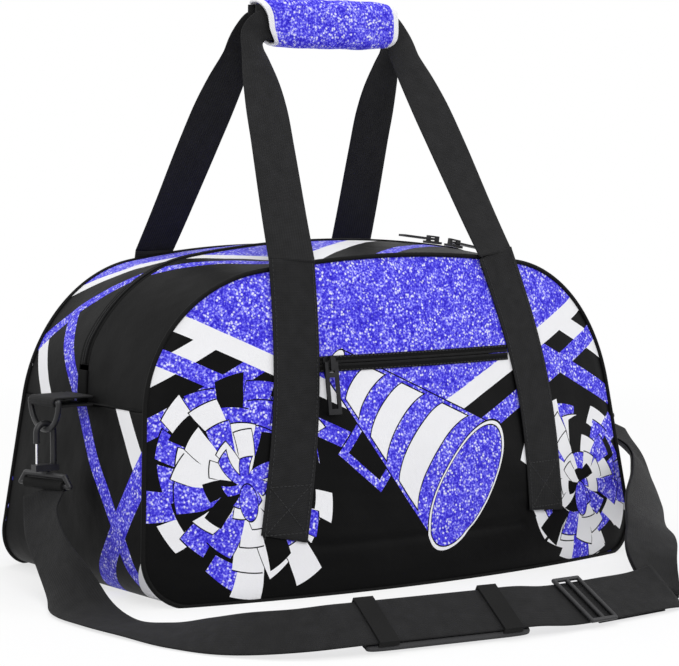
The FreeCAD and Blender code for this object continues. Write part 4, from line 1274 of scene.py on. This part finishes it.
@dataclass
class CarryHandles:
    """Two webbing handles sewn up the panels, with a padded wrap round both."""

    shell: Shell
    looks: Wardrobe
    width: float = 35.6 * MM
    thickness: float = 1.6 * MM
    bow: float = 9.2 * MM
    lean: float = 2.8 * MM
    low_x: float = 117 * MM
    low_z: float = 41 * MM
    seam_x: float = 91 * MM
    seam_z: float = 229.5 * MM
    grip_z: float = 399 * MM
    grip_length: float = 122 * MM
    grip_depth: float = 26 * MM
    grip_tall: float = 36 * MM
    hole_depth: float = 15.2 * MM
    hole_tall: float = 29.2 * MM
    web_y: float = 5 * MM
    leg_keep: float = 0.32
    bow_radius: float = 821.7 * MM
    foot_height: float = 34 * MM
    stitch_inset: float = 2.2 * MM
    flap_inset: float = 7 * MM

    def build(self) -> None:
        """Builds the sewn runs, the free legs, the webs inside the wrap and the wrap."""
        for side in Side:
            for end in End:
                self.sewn_run(side, end)
                self.leg(side, end)
            self.inner_web(side)
        self.wrap()
        self.flap()

    def sewn_run(self, side: Side, end: End) -> None:
        """Webbing sewn up a panel, with a row of stitches along each edge and a boxed cross at its foot."""
        tag = "%s_%s" % (side.name.lower(), end.name.lower())
        z = np.linspace(self.low_z, self.seam_z + 1.2 * MM, 60)
        share = (z - self.low_z) / (self.seam_z - self.low_z)
        x = self.low_x + (self.seam_x - self.low_x) * share
        x = x + (end.value * self.bow + self.lean) * np.sin(np.pi * np.clip(share, 0, 1))
        lift = 0.3 * MM + self.thickness / 2
        y = side.value * (self.shell.out(x, z) + lift)
        centres = np.stack([end.value * x, y, z], axis=1)
        turn = -end.value * side.value * x / self.bow_radius
        sides = unit(np.stack([np.ones_like(x), turn, np.zeros_like(x)], axis=1))
        piece = band("handle_web_%s_sewn" % tag, centres, sides, self.width / 2, self.thickness, 0.0, 28)
        dress(piece, "bag", self.looks.webbing, ["handle_sewn_run_" + tag])
        face = np.array([0.0, side.value, 0.0]) * (self.thickness / 2 + 0.1 * MM)
        rows = []
        for shift in (-1, 1):
            rows.append(centres + sides * shift * (self.width / 2 - self.stitch_inset) + face)
        foot, top = 1, int(np.searchsorted(z, self.low_z + self.foot_height))
        left, right = rows
        for start, stop in ((left[top], right[foot]), (right[top], left[foot]), (left[top], right[top]),
                            (left[foot], right[foot])):
            rows.append(np.linspace(start, stop, 24))
        for number, row in enumerate(rows):
            across = np.tile(unit(np.cross(row[-1] - row[0], [0.0, 1.0, 0.0])), (len(row), 1))
            seam = stitches("handle_stitches_%s_%d" % (tag, number), row, across)
            dress(seam, "bag", self.looks.thread)

    def leg_line(self) -> "tuple[Array, Array, Array]":
        """Middle points, width directions and half-widths of the right-hand front leg.

        The leg climbs straight, gathers near the top and turns into the end of the wrap.
        """
        start_z = self.seam_z + 0.4 * MM
        start = np.array([self.seam_x, -(float(self.shell.out(np.array(self.seam_x), np.array(start_z)))
                                         + 0.6 * MM + self.thickness / 2), start_z])
        end = np.array([self.grip_length / 2 + 2 * MM, -self.web_y - 1.5 * MM, self.grip_z - 9 * MM])
        slope = self.seam_x / self.bow_radius
        share = np.array([0.0, 0.25, 0.5, 0.68, 0.80, 0.91, 1.0])[:, None]
        climb = start + (end + np.array([2 * MM, 0, 0]) - start) * share
        inward = end + np.array([[-5.5, 0.5, 7.0], [-13.0, 1.0, 9.0]]) * MM
        points = np.concatenate([climb, inward])
        sides = np.array([[1, slope, 0], [1, slope / 2, 0], [1, 0, 0.02], [1, 0, 0.06], [1, 0, 0.14],
                          [1, 0, 0.34], [0.75, 0, 0.66], [0.18, 0, 0.98], [0, 0, 1]])
        halves = np.array([17.9, 17.9, 17.9, 17.5, 15.6, 12.4, 10.6, 10.8, 11.0]) * MM
        return points, sides, halves

    def leg(self, side: Side, end: End) -> None:
        """Free leg between the panel and the wrap, gathered and cupped at the top."""
        points, sides, halves = self.leg_line()
        marks = lengths(points)
        at = np.linspace(0, marks[-1], 110)
        centres = through(points, marks, at)
        across = through(sides, marks, at)
        half = through(halves[:, None], marks, at)[:, 0]
        flip = np.array([end.value, -side.value, 1.0])
        share = at / marks[-1]
        gather = np.clip((share - 0.58) / 0.26, 0, 1) ** 2
        cup = 3.0 * MM * gather * (1 - np.clip((share - 0.86) / 0.1, 0, 1))
        roll = 0.5 * MM * np.sin(share * 9.0) * (1 - share)
        tag = "%s_%s" % (side.name.lower(), end.name.lower())
        lift = cup + roll
        piece = band("handle_web_%s_free" % tag, centres * flip, across * flip, half, self.thickness,
                     lift * end.value * side.value * -1.0, 28)
        piece.data.materials.append(self.looks.webbing)
        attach(piece, "bag")
        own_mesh(piece)
        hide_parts("handle_leg_" + tag)
        log.info("%s folds as the grip drops", piece.name)

    def inner_web(self, side: Side) -> None:
        """Handle webbing inside the wrap."""
        reach = self.grip_length / 2 + 1.6 * MM
        x = np.linspace(-reach, reach, 20)
        centres = np.array([0.0, side.value * self.web_y, self.grip_z]) + x[:, None] * [1.0, 0.0, 0.0]
        sides = np.tile([0.0, 0.0, 1.0], (len(x), 1))
        name = side.name.lower()
        piece = band("grip_web_%s_cloth" % name, centres, sides, 13 * MM, self.thickness)
        dress(piece, "grip", self.looks.webbing, ["grip_web_" + name])

    def wrap(self) -> None:
        """Padded wrap: a soft flattened sleeve round both webs, cut slantwise at its ends.

        The outer section is a rounded lozenge, fuller in the middle of its length and pinched towards the
        ends. The inner section hugs the webs, and the two join in a thin rolled rim.
        """
        half = self.grip_length / 2
        place = np.sin(np.linspace(-np.pi / 2, np.pi / 2, 90))
        angle = np.arange(72) / 72 * 2 * np.pi
        cos, sin = np.cos(angle), np.sin(angle)
        flat_y = np.sign(cos) * np.abs(cos) ** 0.62
        flat_z = np.sign(sin) * np.abs(sin) ** 0.55
        layers = []
        for inner in (False, True):
            run = (place[::-1] if inner else place)[:, None]
            pinch = np.abs(run) ** 5
            deep = self.grip_depth / 2 - 3.6 * MM * pinch
            tall = self.grip_tall / 2 - 1.9 * MM * pinch
            if inner:
                deep, tall = np.full_like(run, self.hole_depth / 2), np.full_like(run, self.hole_tall / 2)
            slant = np.where(run < 0, 7.0 - 8.0 * sin, 2.0 - 5.0 * sin ** 2) * run ** 2 * MM
            x = run * (half - (0.6 * MM if inner else 0.0)) + slant
            turned = np.repeat(angle[None, :] * 0.02, len(run), axis=0)
            size = 1.0 if inner else 1.0 + ripple(x, turned, 26 * MM, 2.7) * 0.03
            layers.append(np.stack([x, flat_y * deep * size, self.grip_z + flat_z * tall * size], axis=-1))
        rings = np.concatenate(layers)
        uv = np.zeros(rings.shape[:2] + (2,))
        uv[..., 0] = np.concatenate([place, place[::-1]])[:, None] * half
        piece = add_mesh("handle_wrap", rings.reshape(-1, 3), torus_faces(len(rings), 72), uv.reshape(-1, 2))
        close_up(piece)
        dress(piece, "grip", self.looks.wrap, ["grip_wrap"])

    def flap(self) -> None:
        """Hook-and-loop flap over the back of the wrap."""
        low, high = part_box("wrap_flap")
        x = np.linspace(low.x + self.flap_inset, high.x - self.flap_inset, 60)
        middle = (low + high) / 2
        centres = np.array([0.0, middle.y, middle.z]) + x[:, None] * [1.0, 0.0, 0.0]
        sides = np.tile([0.0, 0.0, 1.0], (len(x), 1))
        piece = band("wrap_flap_cloth", centres, sides, (high.z - low.z) / 2, high.y - low.y, 0.0, 28)
        layer = piece.data.uv_layers[0].data
        corner_uv = np.empty(2 * len(layer), dtype=np.float32)
        layer.foreach_get("uv", corner_uv)
        corner_uv[::2] -= (x[-1] - x[0]) / 2
        layer.foreach_set("uv", corner_uv)
        dress(piece, "wrap_flap", self.looks.wrap, ["wrap_flap"])


@dataclass
class EndFittings:
    """Ring tabs, rings, snap hooks, gates and web loops at both ends."""

    shell: Shell
    looks: Wardrobe
    ring_x: float = 236 * MM
    bar_z: float = 133 * MM
    bar_radius: float = 2.0 * MM
    thickness: float = 1.6 * MM
    tab_width: float = 35 * MM

    def build(self) -> None:
        """Builds the tabs and dresses the hard pieces."""
        for end in End:
            self.tab(end)
            name = end.name.lower()
            for node in ("d_ring_", "snap_hook_", "web_loop_"):
                dress_node(node + name, self.looks.plastic)
            dress_node("hook_gate_" + name, self.looks.wire)

    def tab(self, end: End) -> None:
        """Webbing looped round the ring's bar: out along the top, round the bar and back below."""
        name = end.name.lower()
        low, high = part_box("ring_tab_" + name)
        inner = low.x if end is End.RIGHT else high.x
        radius = self.bar_radius + 0.1 * MM + self.thickness / 2
        angle = np.linspace(np.pi / 2, -np.pi / 2, 24)
        bend_x = self.ring_x + radius * np.cos(angle)
        bend_z = self.bar_z + radius * np.sin(angle)
        out = np.linspace(abs(inner), self.ring_x, 14)[:-1]
        top = np.stack([out, self.bar_z + radius + 0 * out], axis=1)
        under = np.stack([out[::-1], self.bar_z - radius + 0 * out], axis=1)
        line = np.concatenate([top, np.stack([bend_x, bend_z], axis=1), under])
        centres = np.stack([end.value * line[:, 0], np.zeros(len(line)), line[:, 1]], axis=1)
        sides = np.tile([0.0, end.value, 0.0], (len(line), 1))
        piece = band("ring_tab_%s_web" % name, centres, sides, self.tab_width / 2, self.thickness)
        dress(piece, "bag", self.looks.webbing, ["ring_tab_" + name])
        for number, inset in enumerate((3 * MM, 7 * MM)):
            y = np.linspace(-self.tab_width / 2 + 2 * MM, self.tab_width / 2 - 2 * MM, 20)
            row = np.stack([np.full_like(y, end.value * (abs(inner) + inset)), y,
                            np.full_like(y, self.bar_z + radius + self.thickness / 2)], axis=1)
            across = np.tile([1.0, 0.0, 0.0], (len(row), 1))
            seam = stitches("tab_stitches_%s_%d" % (name, number), row, across)
            dress(seam, "bag", self.looks.thread)


@dataclass
class ShoulderStrap:
    """Clip-on strap: webbing runs, folded ends, shoulder pad with keepers, and adjusting slider."""

    looks: Wardrobe
    thickness: float = 1.6 * MM
    half_width: float = 19 * MM
    layer_gap: float = 0.5 * MM
    return_start: int = 16
    hook_swing: float = math.radians(35.0)
    hook_tilt: float = math.radians(30.0)
    ring_place: "tuple[float, float, float]" = (236.0, 0.0, 133.0)
    ring_drop: float = 20.0
    hook_length: float = 42.05
    front_route: Route = field(default_factory=lambda: [
        ((-236.5, 0, 70.9), (0.25, -0.97, 0.00)),
        ((-246, -12, 53), (0.22, -0.85, 0.48)),
        ((-253, -36, 36), (0.15, -0.72, 0.68)),
        ((-259, -66, 21), (0.35, -0.66, 0.66)),
        ((-264, -98, 8), (0.85, -0.45, 0.20)),
        ((-264, -135, 2.5), (0.99, -0.10, 0.00)),
        ((-260, -178, 4), (0.98, 0.10, 0.10)),
        ((-254, -220, 8), (0.88, 0.30, 0.35)),
        ((-240, -256, 12), (0.62, 0.58, 0.52)),
        ((-217, -280, 15), (0.38, 0.76, 0.53)),
        ((-188, -291.5, 17), (0.105, 0.84, 0.53)),
        ((-155, -295.625, 17), (0.105, 0.84, 0.53)),
        ((-122, -299.75, 17), (0.105, 0.84, 0.53)),
        ((-89, -303.875, 17), (0.105, 0.84, 0.53)),
        ((-56, -308, 17), (0.105, 0.84, 0.53)),
        ((-35, -309, 15), (0.00, 0.84, 0.53)),
        ((-8, -306, 14), (-0.10, 0.84, 0.53)),
        ((25, -301, 13.5), (-0.10, 0.84, 0.53)),
        ((58, -297, 13.5), (0.10, 0.84, 0.53)),
        ((77, -294, 14), (0.62, 0.62, 0.48)),
    ])
    right_route: Route = field(default_factory=lambda: [
        ((77, -287.5, 10.5), (0.66, 0.62, 0.42)),
        ((84, -272, 25), (0.93, 0.05, 0.00)),
        ((112, -240, 38), (0.88, -0.35, -0.30)),
        ((150, -192, 45), (0.72, -0.30, -0.62)),
        ((198, -140, 52), (0.66, -0.10, -0.74)),
        ((238, -87, 62), (0.72, 0.25, -0.60)),
        ((255, -46, 77), (0.78, 0.60, 0.05)),
    ])

    def build(self) -> None:
        """Builds the strap."""
        lift = -(self.thickness + self.layer_gap)
        right = self.right_route + [self.right_end()]
        narrow = self.half_width - 0.4 * MM
        for name, line, half, nodes in (
                ("front", self.run(self.front_route), self.half_width, ["strap_front_run"]),
                ("right", self.run(right), self.half_width, ["strap_right_run"]),
                ("double_front", self.run(self.front_route[:-1], lift, self.return_start), narrow,
                 ["strap_return_layer"]),
                ("double_right", self.run(right, lift), narrow, [])):
            piece = band("strap_web_" + name, *line, half, self.thickness, 0.0, 24)
            dress(piece, "strap", self.looks.strap, nodes)
        for end in End:
            dress_node("web_end_" + end.name.lower(), self.looks.pad)
        dress_node("pad_keepers", self.looks.pad)
        dress_node("strap_slider", self.looks.plastic)
        self.pad()

    def right_end(self) -> "tuple[tuple, tuple]":
        """End of the right run at its web loop, in millimetres, with the loop's width direction.

        The hook hangs from the ring's wire, swung forward and tilted outward, and the webbing starts
        a hook's length further along it.
        """
        radial = np.array([0.0, -math.sin(self.hook_swing), -math.cos(self.hook_swing)])
        down = radial * math.cos(self.hook_tilt) + np.array([math.sin(self.hook_tilt), 0, 0])
        wire = np.array(self.ring_place) + radial * self.ring_drop
        side = np.cross(down, [-0.62, 0.78, 0.0])
        return tuple(wire + down * self.hook_length), tuple(side)

    def run(self, route: Route, lift: float = 0.0, first: int = 0) -> "tuple[Array, Array]":
        """Smooth line and width directions of a run of webbing.

        Args:
            route: Stations of place, in millimetres, and width direction.
            lift: Distance along the webbing's normal.
            first: First station that is kept.

        Returns:
            Middle points and width directions.
        """
        points, sides = np.moveaxis(np.array(route, dtype=float), 1, 0)
        points = points * MM
        sides = unit(sides)
        steps = np.concatenate([points[:1], points, points[-1:]])
        tangent = unit(steps[2:] - steps[:-2])
        normal = unit(np.cross(tangent, sides))
        points = (points + normal * lift)[first:]
        sides = sides[first:]
        marks = lengths(points)
        at = np.linspace(0, marks[-1], max(30, int(marks[-1] / (3 * MM))))
        return through(points, marks, at), unit(through(sides, marks, at))

    def pad(self) -> None:
        """Shoulder pad under the webbing: a soft slab, crowned between its edges, with a lighter rim.

        Along and across, a point lies at a signed low power of a sine, so that the slab is full to its
        rounded edges. Its thickness dips in a sewn channel near each long edge.
        """
        source = bpy.data.objects["shoulder_pad"]
        count = len(source.data.vertices)
        flat = np.zeros(count * 3, dtype=np.float32)
        source.data.vertices.foreach_get("co", flat)
        corners = flat.reshape(-1, 3).astype(float)
        along = unit(np.array([33.0, -4.125, 0.0]))
        side = unit(np.array([0.105, 0.84, 0.53]))
        normal = unit(np.cross(along, side))
        side = np.cross(normal, along)
        axes = np.array([along, side, normal])
        reached = corners @ axes.T
        spans = np.ptp(reached, axis=0) / 2
        middle = (reached.max(axis=0) + reached.min(axis=0)) / 2 @ axes
        u, v = np.meshgrid(np.linspace(-np.pi / 2, np.pi / 2, 90),
                           np.linspace(0, 2 * np.pi, 64, endpoint=False), indexing="ij")
        reach = np.sign(np.sin(u)) * np.abs(np.sin(u)) ** 0.25
        around = np.abs(np.cos(u)) ** 0.06
        wide = np.sign(np.cos(v)) * np.abs(np.cos(v)) ** 0.30 * around
        thick = np.sign(np.sin(v)) * np.abs(np.sin(v)) ** 0.55 * around
        channel = 1.0 - 0.16 * np.exp(-((np.abs(wide) - 0.80) / 0.05) ** 2)
        points = (middle + along * (reach * spans[0])[..., None] + side * (wide * spans[1])[..., None]
                  + normal * (thick * spans[2] * channel)[..., None])
        faces = sheet_faces(90, 64, ring=True).tolist()
        uv = np.stack([reach * spans[0], wide], axis=-1).reshape(-1, 2)
        piece = add_mesh("shoulder_pad_cloth", points.reshape(-1, 3), faces, uv)
        close_up(piece, 0.02 * MM)
        dress(piece, "shoulder_pad", self.looks.pad_face, ["shoulder_pad"])


# ---- Studio ------------------------------------------------------------------------------
@dataclass
class Studio:
    """Pale floor, soft lamps and the camera."""

    camera_place: "tuple[float, float, float]" = (-1.0611, -1.5135, 0.3146)
    target: "tuple[float, float, float]" = (0.0152, 0.0, 0.169)
    focal: float = 131.4
    floor_size: float = 30.0

    def build(self) -> None:
        """Builds the floor, the lights and the camera."""
        self.floor()
        self.world()
        self.lamp("key", (-1.1, -1.9, 1.9), 1.5, 34.0)
        self.lamp("fill", (1.9, -1.5, 1.2), 1.8, 17.0)
        self.lamp("top", (0.1, 0.3, 2.3), 1.8, 20.0)
        self.lamp("rear", (-1.6, 1.4, 1.1), 1.2, 10.0)
        data = bpy.data.cameras.new("camera")
        data.lens = self.focal
        data.sensor_width = 36.0
        data.clip_end = 100.0
        camera = bpy.data.objects.new("camera", data)
        camera.location = self.camera_place
        aim = Vector(self.target) - Vector(self.camera_place)
        camera.rotation_euler = aim.to_track_quat("-Z", "Y").to_euler()
        bpy.context.scene.collection.objects.link(camera)
        bpy.context.scene.camera = camera
        bpy.context.scene.view_settings.view_transform = "Standard"

    def floor(self) -> None:
        """Large pale floor that fades to white away from the bag, and keeps the shadow near it."""
        half = self.floor_size / 2
        corners = np.array([[-half, -half, 0], [half, -half, 0], [half, half, 0], [-half, half, 0]])
        piece = add_mesh("floor", corners, [[0, 1, 2, 3]], smooth=False)
        shader = Shader("floor_white")
        _, x, y, _ = shader.axes()
        shader.drive(Base_Color=(0.86, 0.86, 0.86, 1.0), Roughness=0.9, Specular_IOR_Level=0.1)
        away = ((x * x + y * y).root() * (1 / 1400.0)).maths("MINIMUM", 1.0)
        seen = shader.rays("Camera", "Glossy", "Transmission").maths("MINIMUM", 1.0)
        glow = shader.node("ShaderNodeEmission", inputs={"Color": (1, 1, 1, 1), "Strength": 1.0})
        output = next(node for node in shader.tree.nodes if node.type == "OUTPUT_MATERIAL")
        lit = Value(shader, shader.surface.outputs[0])
        both = shader.node("ShaderNodeMixShader", inputs={0: seen * (away * 0.35 + 0.65), 1: lit, 2: glow})
        shader.tree.links.new(both.socket, output.inputs[0])
        piece.data.materials.append(shader.material)
        piece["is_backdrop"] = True

    def world(self) -> None:
        """Even pale surroundings, white to the camera."""
        shader = Shader("studio", world=True)
        seen = shader.rays("Camera", "Glossy", "Transmission")
        level = shader.node("ShaderNodeMapRange", inputs={"Value": seen, "To Min": 0.42, "To Max": 1.0})
        shader.drive(Color=(1.0, 1.0, 1.0, 1.0), Strength=level)
        bpy.context.scene.world = shader.material

    def lamp(self, name: str, place: "tuple[float, float, float]", size: float, power: float) -> None:
        """Square soft lamp aimed at the bag."""
        data = bpy.data.lights.new(name, "AREA")
        data.size = size
        data.energy = power
        lamp = bpy.data.objects.new(name, data)
        lamp.location = place
        lamp.rotation_euler = (Vector((0, 0, 0.15)) - Vector(place)).to_track_quat("-Z", "Y").to_euler()
        bpy.context.scene.collection.objects.link(lamp)


def corners(bounds: "Sequence[Sequence[float]]") -> "list[list[float]]":
    """A box as plain lists of numbers."""
    return [[float(part) for part in corner] for corner in bounds]


def main() -> None:
    """Builds the bag in order."""
    logging.basicConfig(level=logging.INFO, format="%(message)s")
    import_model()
    frame_box = corners(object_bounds())
    shell = Shell()
    looks = Wardrobe(CarryHandles.grip_length / 2)
    for part in (BagBody(shell, looks), Zips(shell, looks), CarryHandles(shell, looks),
                 EndFittings(shell, looks), ShoulderStrap(looks), Studio()):
        part.build()
    {"frame": frame_box, "model": corners(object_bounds())}


if __name__ == "__main__":
    main()
